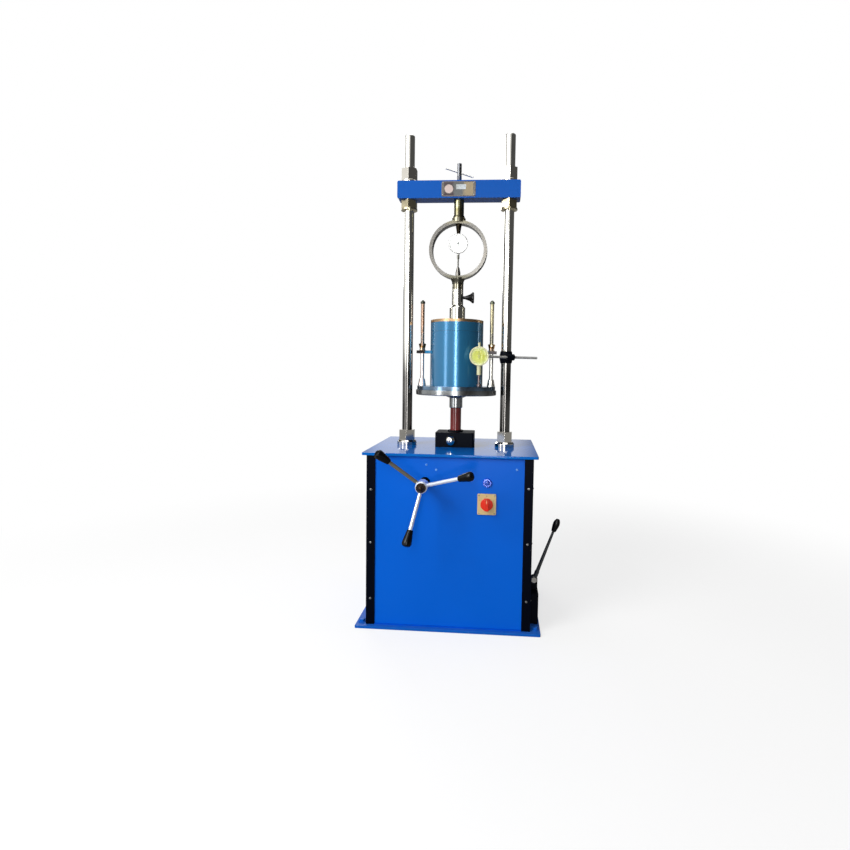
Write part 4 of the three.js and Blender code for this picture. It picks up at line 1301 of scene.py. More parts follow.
class Shaper:
    """Makes meshes out of named shapes.

    Attributes:
        seam: How near each other two points are to be one, in millimetres.
    """

    seam = 0.0005

    def __init__(self) -> None:
        """Starts with nothing made."""
        self.mesh = bmesh.new()

    @staticmethod
    def _out(ring: Ring, turn: float, ribs: int) -> float:
        """Works out how far a ring is from its axis.

        Args:
            ring: The ring.
            turn: The angle round the axis.
            ribs: How many ribs a rippled ring has.

        Returns:
            The distance at that angle.
        """
        if ring.sides:
            step = 2 * math.pi / ring.sides
            return ring.radius * math.cos(step / 2) / math.cos(turn % step - step / 2)
        return ring.radius + ring.ripple * math.cos(ribs * turn)

    def turned(
        self,
        rings: Sequence[Ring],
        centre: Point,
        axis: Vector = Axis.Z.value,
        segments: int = 32,
        ribs: int = 0,
        hollow: bool = False,
    ) -> "Shaper":
        """Adds a shape turned round an axis.

        Args:
            rings: The rings from one end to the other. A radius of 0 closes an end.
            centre: Where height 0 is.
            axis: The direction that heights go in.
            segments: How many faces go round.
            ribs: How many ribs a rippled ring has.
            hollow: Whether the last ring joins the first, as in a washer.

        Returns:
            The shaper itself.
        """
        turn = Vector((0, 0, 1)).rotation_difference(axis).to_matrix().to_4x4()
        place = Matrix.Translation(Vector(centre)) @ turn
        loops = []
        for ring in rings:
            count = 1 if ring.radius == 0 else segments
            loop = []
            for i in range(count):
                angle = 2 * math.pi * i / segments
                out = self._out(ring, angle, ribs) if count > 1 else 0.0
                point = Vector((out * math.cos(angle), out * math.sin(angle), ring.height))
                loop.append(self.mesh.verts.new((place @ point) * MM))
            loops.append(loop)
        pairs = list(zip(loops, loops[1:])) + ([(loops[-1], loops[0])] if hollow else [])
        for low, high in pairs:
            for i in range(segments):
                j = (i + 1) % segments
                corners = (low[i % len(low)], low[j % len(low)], high[j % len(high)], high[i % len(high)])
                self.mesh.faces.new(list(dict.fromkeys(corners)))
        return self

    def slab(self, outline: Sequence[Flat], low: float, high: float, place: Matrix) -> "Shaper":
        """Adds a flat plate.

        Args:
            outline: Its corners, in order.
            low: Its lower face.
            high: Its upper face.
            place: Where it goes.

        Returns:
            The shaper itself.
        """
        lower, upper = (
            [self.mesh.verts.new((place @ Vector((x, y, z))) * MM) for x, y in outline] for z in (low, high)
        )
        self.mesh.faces.new(list(reversed(lower)))
        self.mesh.faces.new(upper)
        for i in range(len(outline)):
            j = (i + 1) % len(outline)
            self.mesh.faces.new([lower[i], lower[j], upper[j], upper[i]])
        return self

    def words(self, text: str, size: float, depth: float, place: Matrix) -> "Shaper":
        """Adds numbers, raised from a face.

        Args:
            text: The figures.
            size: Their height.
            depth: How far they stand out.
            place: Where their middle goes.

        Returns:
            The shaper itself.
        """
        curve = bpy.data.curves.new("figures", "FONT")
        curve.body = text
        curve.size = size
        curve.align_x = "CENTER"
        curve.align_y = "CENTER"
        curve.extrude = depth / 2
        curve.resolution_u = 3
        holder = bpy.data.objects.new("figures", curve)
        bpy.context.scene.collection.objects.link(holder)
        bpy.context.view_layer.update()
        ready = holder.evaluated_get(bpy.context.evaluated_depsgraph_get())
        shape = bpy.data.meshes.new_from_object(ready)
        shape.transform(Matrix.Scale(MM, 4) @ place @ Matrix.Translation((0, 0, depth / 2)))
        self.mesh.from_mesh(shape)
        bpy.data.objects.remove(holder)
        bpy.data.curves.remove(curve)
        bpy.data.meshes.remove(shape)
        return self

    def piece(
        self,
        name: str,
        body: str,
        slot: str,
        finish: bpy.types.Material,
        edge: float = 0.0,
    ) -> bpy.types.Object:
        """Turns what was made into a piece.

        Args:
            name: The piece's name.
            body: The body that it rides on.
            slot: The name of its finish's slot; it is not used.
            finish: Its finish.
            edge: The width of its broken edges, or 0 for none.

        Returns:
            The piece.
        """
        bmesh.ops.remove_doubles(self.mesh, verts=self.mesh.verts, dist=self.seam * MM)
        bmesh.ops.recalc_face_normals(self.mesh, faces=self.mesh.faces)
        mesh = bpy.data.meshes.new(name)
        self.mesh.to_mesh(mesh)
        self.mesh.free()
        mesh.materials.append(finish)
        piece = bpy.data.objects.new(name, mesh)
        bpy.context.scene.collection.objects.link(piece)
        Smoothing.apply(piece, edge, flat=False)
        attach(piece, body)
        LOG.info("%s rides on %s", name, body)
        return piece


def rounded(width: float, depth: float, corner: float, steps: int = 5) -> list[Flat]:
    """Draws a rectangle with round corners.

    Args:
        width: Its width.
        depth: Its depth.
        corner: The radius of its corners.
        steps: How many straight pieces a corner has.

    Returns:
        Its outline, round its middle.
    """
    points = []
    for quarter, (sx, sy) in enumerate(((1, 1), (-1, 1), (-1, -1), (1, -1))):
        for i in range(steps + 1):
            angle = math.pi / 2 * (quarter + i / steps)
            x = sx * (width / 2 - corner) + corner * math.cos(angle)
            y = sy * (depth / 2 - corner) + corner * math.sin(angle)
            points.append((x, y))
    return points


def facing_front(x: float, y: float, z: float, roll: float = 0.0) -> Matrix:
    """Finds the place of a flat shape that faces the front, with its own Y up.

    Args:
        x: Its middle along X.
        y: Its middle along Y.
        z: Its middle along Z.
        roll: How far it is turned clockwise, in radians.

    Returns:
        The matrix that puts it there.
    """
    upright = Matrix.Rotation(math.pi / 2, 4, "X") @ Matrix.Rotation(-roll, 4, "Z")
    return Matrix.Translation((x, y, z)) @ upright


@dataclass
class SubAssembly:
    """Pieces that belong together.

    In each of them, a size that ends in edge is the width of a broken edge.

    Attributes:
        finishes: All the finishes.
    """

    finishes: Finishes

    def dress(self, finish: str, edge: float, *nodes: str) -> None:
        """Gives CAD nodes their finish and smooth faces.

        Args:
            finish: The name of the finish.
            edge: The width of the broken edges, or 0 for none.
            nodes: The names of the nodes.
        """
        for name in nodes:
            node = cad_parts[name]
            node.data.materials.clear()
            node.data.materials.append(self.finishes[finish])
            Smoothing.apply(node, edge)
            LOG.info("%s wears %s", name, finish)

    def build(self) -> None:
        """Makes the pieces."""
        raise NotImplementedError


def pan_head(radius: float) -> list[Ring]:
    """Draws a screw's round head on its washer, with a socket for a key.

    Args:
        radius: The head's radius, which all its other sizes follow.

    Returns:
        The rings from the washer's underside to the socket's floor.
    """
    return [
        Ring(0, 0),
        Ring(radius * 1.3, 0),
        Ring(radius * 1.3, radius * 0.2),
        Ring(radius, radius * 0.22),
        Ring(radius * 0.92, radius * 0.5),
        Ring(radius * 0.66, radius * 0.68),
        Ring(radius * 0.48, radius * 0.72, 6),
        Ring(radius * 0.46, radius * 0.36, 6),
        Ring(0, radius * 0.34),
    ]


def hex_head(flats: float, height: float, washer: float, washer_height: float = 1.6) -> list[Ring]:
    """Draws a bolt's hexagon head on its washer.

    Args:
        flats: The width across its flats.
        height: The head's height.
        washer: The washer's radius.
        washer_height: The washer's height.

    Returns:
        The rings from the washer's underside to the head's top.
    """
    corner = flats / 2 / math.cos(math.pi / 6)
    top = washer_height + height
    return [
        Ring(0, 0),
        Ring(washer, 0),
        Ring(washer, washer_height),
        Ring(corner, washer_height, 6),
        Ring(corner, washer_height + height * 0.88, 6),
        Ring(flats / 2 * 0.96, top),
        Ring(0, top),
    ]


def disc(radius: float, low: float, high: float) -> list[Ring]:
    """Returns the rings of a plain round plate."""
    return [Ring(0, low), Ring(radius, low), Ring(radius, high), Ring(0, high)]


@dataclass
class Cabinet(SubAssembly):
    """The welded cabinet with its sheets, its plates and their screws.

    Attributes:
        side: How far the posts' side faces are from the middle.
        front: How far the posts' front and rear faces are from the middle.
        strip: How far the posts' screws are from the posts' corner.
        left_heights: The heights of the left posts' screws.
        right_heights: The heights of the right posts' screws.
        screw: The radius of these screws' heads.
        base_top: The base plate's upper face.
        base_bolts: How far the base bolts are from the middle, along X and along Y.
        bolt_flats: The width of a base bolt across its flats.
        bolt_height: The height of its head.
        bolt_washer: The radius of its washer.
        panel: The panel's front face.
        panel_screws: Where the panel's small screws are, along X and along Z.
        panel_screw: The radius of their heads.
    """

    side: float = 242.0
    front: float = 203.0
    strip: float = 13.0
    left_heights: tuple[float, ...] = (86.0, 254.0, 411.0)
    right_heights: tuple[float, ...] = (96.0, 265.0, 426.0)
    screw: float = 2.7
    base_top: float = 8.0
    base_bolts: Flat = (257.0, 186.0)
    bolt_flats: float = 17.0
    bolt_height: float = 7.0
    bolt_washer: float = 11.5
    panel: float = -200.0
    panel_screws: tuple[Flat, ...] = ((-67.0, 488.0), (-38.0, 474.0), (194.0, 480.0))
    panel_screw: float = 2.6
    plate_edge: float = 1.0
    sheet_edge: float = 0.3
    post_edge: float = 0.6
    inlet_edge: float = 0.4

    def build(self) -> None:
        """Makes the pieces."""
        self.dress("base_blue", self.plate_edge, "base_plate")
        self.dress("top_blue", self.plate_edge, "top_plate")
        self.dress("cabinet_blue", self.sheet_edge, "front_panel", "rear_cover")
        self.dress("post_black", self.post_edge, "cabinet_frame")
        self.dress("black_plastic", self.inlet_edge, "power_inlet")
        self.add_post_screws()
        self.add_base_bolts()
        self.add_panel_screws()

    def add_post_screws(self) -> None:
        """Makes the bright screws that hold the sheets to the corner posts."""
        x, y = self.side - self.strip, self.front - self.strip
        rows = {
            "front_screws": (Axis.FRONT, [(s * x, -self.front) for s in (-1, 1)]),
            "rear_screws": (Axis.Y, [(s * x, self.front) for s in (-1, 1)]),
            "left_screws": (Axis.LEFT, [(-self.side, s * y) for s in (-1, 1)]),
            "right_screws": (Axis.X, [(self.side, s * y) for s in (-1, 1)]),
        }
        for name, (axis, places) in rows.items():
            heads = Shaper()
            for px, py in places:
                for z in self.left_heights if px < 0 else self.right_heights:
                    heads.turned(pan_head(self.screw), (px, py, z), axis.value, 24)
            heads.piece(name, "frame", "bright_steel", self.finishes["screw_steel"])

    def add_base_bolts(self) -> None:
        """Makes the painted bolts in the corners of the base plate."""
        x, y = self.base_bolts
        head = hex_head(self.bolt_flats, self.bolt_height, self.bolt_washer)
        bolts = Shaper()
        for sx in (-1, 1):
            for sy in (-1, 1):
                bolts.turned(head, (sx * x, sy * y, self.base_top), Axis.Z.value, 24)
        bolts.piece("base_bolts", "frame", "cabinet_blue", self.finishes["base_blue"])

    def add_panel_screws(self) -> None:
        """Makes the small painted screws near the panel's top."""
        screws = Shaper()
        for x, z in self.panel_screws:
            screws.turned(pan_head(self.panel_screw), (x, self.panel, z), Axis.FRONT.value, 24)
        screws.piece("panel_screws", "frame", "cabinet_blue", self.finishes["screw_blue"])


@dataclass
class Columns(SubAssembly):
    """The two chrome columns and all their nuts."""

    column_edge: float = 0.5
    nut_edge: float = 0.8

    def build(self) -> None:
        """Makes the pieces."""
        self.dress("column_painted_reflection", self.column_edge, "left_column", "right_column")
        self.dress("chrome", self.nut_edge, "left_foot_nut", "right_foot_nut")
        self.dress("chrome", self.nut_edge, "left_upper_nut", "right_upper_nut")
        self.dress("worn_chrome", self.nut_edge, "left_lower_nut", "right_lower_nut")


@dataclass
class Threads(SubAssembly):
    """Screw threads on the rods that have them.

    Attributes:
        pitch: The height of one turn.
        stay_x: How far the stay rods are from the middle.
        stay_radius: The middle radius of a stay rod's thread.
        stay_depth: Half the depth of that thread.
        stay_heights: The ends of that thread.
        spindle_radius: The middle radius of the spindle's thread.
        spindle_depth: Half the depth of that thread.
        spindle_heights: The ends of that thread.
        root: How far a thread reaches inwards from its middle radius.
    """

    pitch: float = 1.75
    stay_x: float = 111.0
    stay_radius: float = 6.05
    stay_depth: float = 0.35
    stay_heights: Flat = (848.5, 880.0)
    spindle_radius: float = 7.05
    spindle_depth: float = 0.4
    spindle_heights: Flat = (1351.5, 1372.0)
    root: float = 1.05

    def rings(self, radius: float, low: float, high: float, depth: float) -> list[Ring]:
        """Draws a thread on a thin sleeve.

        Args:
            radius: Its middle radius.
            low: Its lower end.
            high: Its upper end at most.
            depth: Half its depth.

        Returns:
            The rings from the sleeve's lower end round to its upper end.
        """
        turns = int((high - low) / self.pitch)
        rings = [Ring(radius - depth, low)]
        for i in range(turns):
            start = low + i * self.pitch
            rings.append(Ring(radius + depth, start + self.pitch / 2))
            rings.append(Ring(radius - depth, start + self.pitch))
        inside = radius - self.root
        return [Ring(inside, low), *rings, Ring(inside, rings[-1].height)]

    def build(self) -> None:
        """Makes the pieces."""
        steel = self.finishes["bright_steel"]
        rings = self.rings(self.stay_radius, *self.stay_heights, self.stay_depth)
        for side, x in (("left", -self.stay_x), ("right", self.stay_x)):
            thread = Shaper().turned(rings, (x, 0, 0), segments=24, hollow=True)
            thread.piece(f"{side}_stay_thread", "ram", "bright_steel", steel)
        rings = self.rings(self.spindle_radius, *self.spindle_heights, self.spindle_depth)
        thread = Shaper().turned(rings, (0, 0, 0), segments=28, hollow=True)
        thread.piece("spindle_thread", "spindle", "bright_steel", steel)


@dataclass
class Crosshead(SubAssembly):
    """The blue crosshead with its bare plate, and the screw in its middle.

    Attributes:
        front: The crosshead's front face.
        middle: The height of its middle.
        plate: The plate's width and height.
        plate_thick: The plate's thickness.
        film: How far each field stands out from the one under it.
        field_rim: How much narrower and lower the field is than the plate.
        bare: The bare panel's width and height.
        bare_at: Its middle, from the plate's middle.
        disc: The disc's middle along X, and its radius.
        rim: How wide the ring round the disc is.
        rivet: How far the rivets are from the plate's middle.
        rivet_radius: The radius of their heads.
    """

    front: float = -26.0
    middle: float = 1324.0
    plate: Flat = (106.0, 46.0)
    plate_thick: float = 1.0
    film: float = 0.25
    field_rim: Flat = (15.0, 6.0)
    bare: Flat = (30.0, 15.0)
    bare_at: Flat = (8.0, 6.0)
    disc: Flat = (-30.0, 13.0)
    rim: float = 2.0
    rivet: Flat = (48.5, 18.5)
    rivet_radius: float = 2.2
    beam_edge: float = 1.6
    spindle_edge: float = 0.5
    plate_edge: float = 0.25
    bare_edge: float = 0.1

    def build(self) -> None:
        """Makes the pieces."""
        self.dress("crosshead_blue", self.beam_edge, "crosshead")
        self.dress("spindle_olive", self.spindle_edge, "ring_spindle")
        self.dress("dial_steel", self.spindle_edge, "tommy_bar")
        self.add_plate()
        self.add_disc()
        self.add_rivets()

    def add_plate(self) -> None:
        """Makes the bare plate on the front, with its field and its bare panel."""
        finishes = self.finishes
        at = facing_front(0, self.front, self.middle)
        width, height = self.plate
        low, high = self.plate_thick, self.plate_thick + self.film
        plate = Shaper().slab(rounded(width, height, 4), 0, low, at)
        plate.piece("face_plate", "crosshead", "bright_steel", finishes["plate_metal"], self.plate_edge)
        outline = rounded(width - self.field_rim[0], height - self.field_rim[1], 3)
        field = Shaper().slab(outline, low, high, at)
        field.piece("face_plate_field", "crosshead", "post_black", finishes["plate_field"])
        x, z = self.bare_at
        at = facing_front(x, self.front, self.middle + z)
        bare = Shaper().slab(rounded(*self.bare, 2), high, high + self.film, at)
        bare.piece("face_plate_panel", "crosshead", "bright_steel", finishes["plate_pale"], self.bare_edge)

    def add_disc(self) -> None:
        """Makes the plain disc on the plate, and the ring round it."""
        x, radius = self.disc
        at = (x, self.front, self.middle)
        rings = [Ring(0, 1.2), Ring(radius, 1.2), Ring(radius, 1.7), Ring(radius - 1, 2.0), Ring(0, 2.0)]
        plain = Shaper().turned(rings, at, Axis.FRONT.value, 40)
        plain.piece("face_plate_disc", "crosshead", "dial_cream", self.finishes["plate_disc"])
        out = radius + self.rim
        rings = [Ring(radius, 1.2), Ring(out, 1.2), Ring(out, 1.9), Ring(radius, 2.1)]
        rim = Shaper().turned(rings, at, Axis.FRONT.value, 40, hollow=True)
        rim.piece("face_plate_rim", "crosshead", "bright_steel", self.finishes["plate_metal"])

    def add_rivets(self) -> None:
        """Makes the four rivets in the plate's corners."""
        x, z = self.rivet
        out = self.rivet_radius
        head = [Ring(0, 0.8), Ring(out, 0.8), Ring(out, 1.3), Ring(out - 0.8, 2.0), Ring(0, 2.2)]
        rivets = Shaper()
        for sx in (-1, 1):
            for sz in (-1, 1):
                rivets.turned(head, (sx * x, self.front, self.middle + sz * z), Axis.FRONT.value, 20)
        rivets.piece("face_plate_rivets", "crosshead", "chrome", self.finishes["screw_steel"])


@dataclass
class Dial:
    """The face of a dial gauge: its card, its lines and figures, its bezel and its crystal.

    Attributes:
        finishes: All the finishes.
        name: What its pieces' names start with.
        body: The body that it rides on.
        centre: The middle of the card's seat.
        radius: The bezel's inside radius.
        card: The card's colour.
        aged: The colour of the card's edge.
        bezel: The name of the bezel's finish and slot.
        ink: The name of the finish of its lines and figures.
        lift: How far the crystal is in front of the card.
        card_thick: The card's thickness.
        film: How far the lines and figures stand out from the card.
        divisions: How many division lines go round.
        lines: For each kind of line, every how many divisions it comes, its length and its width.
        line_ring: The radius of the lines' outer ends, as a share of the bezel's.
        inner_ring: The radius of the inner printed ring, likewise.
        ring_width: The width of the printed rings.
        figure_ring: The radius that the figures stand on, likewise.
        figure_size: The figures' height, likewise.
        bezel_width: The bezel's width.
        ribs: How many ribs the bezel has.
        segments: How many faces go round.
    """

    finishes: Finishes
    name: str
    body: str
    centre: Point
    radius: float
    card: Colour
    aged: Colour
    bezel: str
    ink: str
    lift: float = 2.35
    card_thick: float = 0.15
    film: float = 0.05
    divisions: int = 100
    lines: tuple[tuple[int, float, float], ...] = ((10, 4.2, 0.42), (5, 3.2, 0.3), (1, 2.2, 0.2))
    line_ring: float = 0.93
    inner_ring: float = 0.36
    ring_width: float = 0.3
    figure_ring: float = 0.66
    figure_size: float = 0.2
    bezel_width: float = 3.9
    ribs: int = 48
    segments: int = 64

    def build(self) -> None:
        """Makes the pieces."""
        self.add_card()
        self.add_lines()
        self.add_figures()
        self.add_bezel()
        self.add_crystal()

    def turned(self, rings: Sequence[Ring], hollow: bool = False) -> Shaper:
        """Returns a shape turned round the dial's middle."""
        return Shaper().turned(rings, self.centre, Axis.FRONT.value, self.segments, hollow=hollow)

    def add_card(self) -> None:
        """Makes the card."""
        name = f"{self.name}_card"
        self.finishes.add(DialCard(name, self.card, self.aged, self.centre, self.radius))
        card = self.turned(disc(self.radius - 0.3, 0, self.card_thick))
        card.piece(name, self.body, "dial_cream", self.finishes[name])

    def add_lines(self) -> None:
        """Makes the division lines and the two printed rings."""
        lines = Shaper()
        outer = self.radius * self.line_ring
        low, high = self.card_thick, self.card_thick + self.film
        for i in range(self.divisions):
            length, width = next((long, wide) for every, long, wide in self.lines if i % every == 0)
            half, inner = width / 2, outer - length
            box = [(-half, inner), (half, inner), (half, outer), (-half, outer)]
            lines.slab(box, low, high, facing_front(*self.centre, 2 * math.pi * i / self.divisions))
        for radius in (outer, self.radius * self.inner_ring):
            out = radius + self.ring_width
            rings = [Ring(radius, low), Ring(out, low), Ring(out, high), Ring(radius, high)]
            lines.turned(rings, self.centre, Axis.FRONT.value, self.segments, hollow=True)
        lines.piece(f"{self.name}_lines", self.body, "needle_black", self.finishes[self.ink])

    def add_figures(self) -> None:
        """Makes the figures from 0 to 90."""
        x, y, z = self.centre
        figures = Shaper()
        out = self.radius * self.figure_ring
        on_card = Matrix.Translation((0, 0, self.card_thick))
        for i in range(10):
            turn = 2 * math.pi * i / 10
            at = facing_front(x + out * math.sin(turn), y, z + out * math.cos(turn)) @ on_card
            figures.words(str(i * 10), self.radius * self.figure_size, self.film, at)
        figures.piece(f"{self.name}_figures", self.body, "needle_black", self.finishes[self.ink])

    def add_bezel(self) -> None:
        """Makes the ribbed ring that holds the crystal."""
        inner, outer = self.radius, self.radius + self.bezel_width
        front = self.lift + 0.9
        rings = [
            Ring(inner, self.lift - 0.4),
            Ring(outer - 0.4, self.lift - 1.9, ripple=0.25),
            Ring(outer, self.lift - 1.2, ripple=0.3),
            Ring(outer, front - 0.9, ripple=0.3),
            Ring(outer - 0.8, front - 0.1),
            Ring(outer - 1.8, front + 0.2),
            Ring(inner + 0.7, front),
            Ring(inner, front - 0.6),
        ]
        bezel = Shaper().turned(rings, self.centre, Axis.FRONT.value, 4 * self.ribs, self.ribs, hollow=True)
        bezel.piece(f"{self.name}_bezel", self.body, self.bezel, self.finishes[self.bezel])

    def add_crystal(self) -> None:
        """Makes the crystal, which bulges a little."""
        out, low = self.radius - 0.1, self.lift
        bulge = ((1.0, 0.6), (0.9, 1.0), (0.6, 1.5), (0.3, 1.75), (0.0, 1.85))
        rings = [Ring(0, low), Ring(out, low)] + [Ring(out * share, low + rise) for share, rise in bulge]
        crystal = self.turned(rings)
        crystal.piece(f"{self.name}_crystal", self.body, "lamp_lens", self.finishes["crystal"])


@dataclass
class ProvingRing(SubAssembly):
    """The steel ring that measures the load, and the gauge inside it.

    Attributes:
        gauge: The middle of the seat of the gauge's card.
        gauge_radius: The inside radius of its bezel.
        card: The card's colour.
        aged: The colour of the card's edge.
        back: The gauge's rear face.
        cover: The radius of the cover on it.
        cover_thick: The cover's thickness.
        screw_ring: How far the cover's screws are from its middle.
        screw: The radius of their heads.
    """

    gauge: Point = (0.0, -8.0, 1161.0)
    gauge_radius: float = 26.5
    card: Colour = (226, 226, 224)
    aged: Colour = (220, 220, 218)
    back: float = 11.0
    cover: float = 21.0
    cover_thick: float = 1.4
    screw_ring: float = 16.0
    screw: float = 1.5
    ring_edge: float = 0.6
    gauge_edge: float = 0.4

    def build(self) -> None:
        """Makes the pieces."""
        self.dress("ring_steel", self.ring_edge, "proving_ring")
        self.dress("gauge_steel", self.gauge_edge, "ring_gauge")
        self.dress("needle_black", 0.0, "ring_gauge_needle")
        Dial(
            self.finishes,
            name="ring_dial",
            body="crosshead",
            centre=self.gauge,
            radius=self.gauge_radius,
            card=self.card,
            aged=self.aged,
            bezel="dial_steel",
            ink="print_grey",
        ).build()
        self.add_back()

    def add_back(self) -> None:
        """Makes the flat cover on the back of the gauge, with its screws."""
        height, out, top = self.gauge[2], self.cover, self.cover_thick
        rings = [Ring(0, 0), Ring(out, 0), Ring(out, top - 0.6), Ring(out - 0.8, top), Ring(0, top)]
        cover = Shaper().turned(rings, (0, self.back, height), Axis.Y.value, 48)
        cover.piece("ring_gauge_cover", "crosshead", "dial_steel", self.finishes["dial_steel"])
        screws = Shaper()
        for i in range(4):
            turn = math.pi / 4 + i * math.pi / 2
            x, z = self.screw_ring * math.cos(turn), height + self.screw_ring * math.sin(turn)
            screws.turned(pan_head(self.screw), (x, self.back + top, z), Axis.Y.value, 18)
        screws.piece("ring_gauge_screws", "crosshead", "chrome", self.finishes["screw_steel"])


@dataclass
class Plunger(SubAssembly):
    """The plunger under the ring, its holder and its lock knob."""

    plunger_edge: float = 0.6
    knob_edge: float = 0.5

    def build(self) -> None:
        """Makes the pieces."""
        self.dress("holder_chrome", self.plunger_edge, "plunger_holder", "plunger")
        self.dress("black_plastic", self.knob_edge, "plunger_knob")


@dataclass
class Mould(SubAssembly):
    """The soil mould, clamped on its base by two stay rods.

    Attributes:
        paint: The colour of its paint.
        bare: The colour of its bare steel.
        body_paint: How high the body's paint reaches.
        collar_paint: How high the collar's paint reaches.
    """

    paint: Colour = (39, 113, 156)
    bare: Colour = (176, 146, 112)
    body_paint: float = 887.0
    collar_paint: float = 912.0
    wall_edge: float = 0.15
    base_edge: float = 0.8
    rod_edge: float = 0.4
    wing_edge: float = 0.5

    def build(self) -> None:
        """Makes the pieces."""
        self.finishes.add(MouldPaint("mould_blue", self.paint, self.bare, self.body_paint))
        self.finishes.add(MouldPaint("collar_blue", self.paint, self.bare, self.collar_paint))
        self.dress("mould_blue", self.wall_edge, "mould_body")
        self.dress("collar_blue", self.wall_edge, "mould_collar")
        self.dress("base_steel", self.base_edge, "mould_base")
        self.dress("left_rod_metal", self.rod_edge, "left_stay_rod")
        self.dress("right_rod_metal", self.rod_edge, "right_stay_rod")
        self.dress("wing_brass", self.wing_edge, "left_wing_nut", "right_wing_nut")


@dataclass
class Ram(SubAssembly):
    """The ram with its platen, and the block that guides it."""

    ram_edge: float = 0.5
    platen_edge: float = 0.8
    block_edge: float = 1.0

    def build(self) -> None:
        """Makes the pieces."""
        self.dress("ram_red", self.ram_edge, "ram")
        self.dress("platen_steel", self.platen_edge, "platen")
        self.dress("black_iron", self.block_edge, "ram_guide_block")
        self.dress("chrome", self.platen_edge, "guide_plug")


@dataclass
class Handwheel(SubAssembly):
    """The three armed handwheel.

    Attributes:
        hub: The middle of the hub's front face.
        washer: The radius of the washer on it.
        washer_thick: The washer's thickness.
        nut: The nut's rings, each with its radius, its height from the washer and its flats.
        segments: How many faces go round.
    """

    hub: Point = (-70.0, -286.0, 437.0)
    washer: float = 14.0
    washer_thick: float = 1.6
    nut: tuple[tuple[float, float, int], ...] = (
        (0.0, 0.0, 0),
        (10.4, 0.0, 6),
        (10.4, 5.8, 6),
        (8.7, 6.8, 0),
        (8.2, 7.4, 0),
        (7.6, 10.4, 0),
        (5.4, 13.0, 0),
        (2.6, 14.2, 0),
        (0.0, 14.6, 0),
    )
    segments: int = 36
    hub_edge: float = 0.6
    grip_edge: float = 0.5
    washer_edge: float = 0.3

    def build(self) -> None:
        """Makes the pieces."""
        self.dress("arm_painted_reflection", self.hub_edge, "handwheel_hub")
        self.dress("black_plastic", self.grip_edge, "right_grip", "upper_grip", "lower_grip")
        self.add_part("hub_washer", disc(self.washer, 0, self.washer_thick), self.washer_edge)
        self.add_part("hub_nut", [Ring(out, self.washer_thick + z, sides) for out, z, sides in self.nut])

    def add_part(self, name: str, rings: Sequence[Ring], edge: float = 0.0) -> None:
        """Makes a turned part on the hub's front face."""
        part = Shaper().turned(rings, self.hub, Axis.FRONT.value, self.segments)
        part.piece(name, "handwheel", "black_iron", self.finishes["hub_brown"], edge)


@dataclass
class Controls(SubAssembly):
    """The rotary switch on its plate, and the lamp above it.

    Attributes:
        switch: The middle of the plate's front face.
        plate: The plate's width and height.
        grip_front: The front face of the knob's grip.
        index: The width and height of the line on the grip.
        index_rise: How far the line's middle is above the knob's.
        ink: How far the line stands out.
        figures: The figures on the plate, with the angle of each.
        figure_radius: How far they are from the knob's middle.
        figure_size: Their height.
        figure_ink: How far they stand out.
        screw_inset: How far the screws are from the plate's sides.
        screw: The radius of their heads.
    """

    switch: Point = (109.5, -204.0, 378.0)
    plate: Flat = (54.0, 61.0)
    grip_front: float = -222.0
    index: Flat = (2.2, 9.0)
    index_rise: float = 10.0
    ink: float = 0.25
    figures: tuple[tuple[str, float], ...] = (("1", -60.0), ("0", 0.0), ("2", 60.0))
    figure_radius: float = 23.2
    figure_size: float = 5.0
    figure_ink: float = 0.08
    screw_inset: float = 4.5
    screw: float = 1.5
    plate_edge: float = 0.6
    knob_edge: float = 0.7
    bezel_edge: float = 0.4

    def build(self) -> None:
        """Makes the pieces."""
        self.dress("switch_yellow", self.plate_edge, "switch_plate")
        self.dress("switch_red", self.knob_edge, "switch_knob")
        self.dress("lamp_ring", self.bezel_edge, "lamp_bezel")
        self.dress("lamp_lens", 0.0, "lamp_lens")
        self.add_index()
        self.add_figures()
        self.add_screws()

    def add_index(self) -> None:
        """Makes the index line on the knob's grip."""
        x, _, z = self.switch
        at = facing_front(x, self.grip_front, z + self.index_rise)
        line = Shaper().slab(rounded(*self.index, 1), 0, self.ink, at)
        line.piece("switch_index", "switch", "dial_cream", self.finishes["mark_white"])

    def add_figures(self) -> None:
        """Makes the figures round the knob."""
        x, y, z = self.switch
        figures = Shaper()
        for text, turn in self.figures:
            angle = math.radians(turn)
            right, up = self.figure_radius * math.sin(angle), self.figure_radius * math.cos(angle)
            figures.words(text, self.figure_size, self.figure_ink, facing_front(x + right, y, z + up))
        figures.piece("switch_figures", "frame", "needle_black", self.finishes["print_black"])

    def add_screws(self) -> None:
        """Makes the four screws in the plate's corners."""
        x, y, z = self.switch
        across, up = (size / 2 - self.screw_inset for size in self.plate)
        screws = Shaper()
        for sx in (-1, 1):
            for sz in (-1, 1):
                screws.turned(pan_head(self.screw), (x + sx * across, y, z + sz * up), Axis.FRONT.value, 18)
        screws.piece("switch_screws", "frame", "bright_steel", self.finishes["screw_steel"])


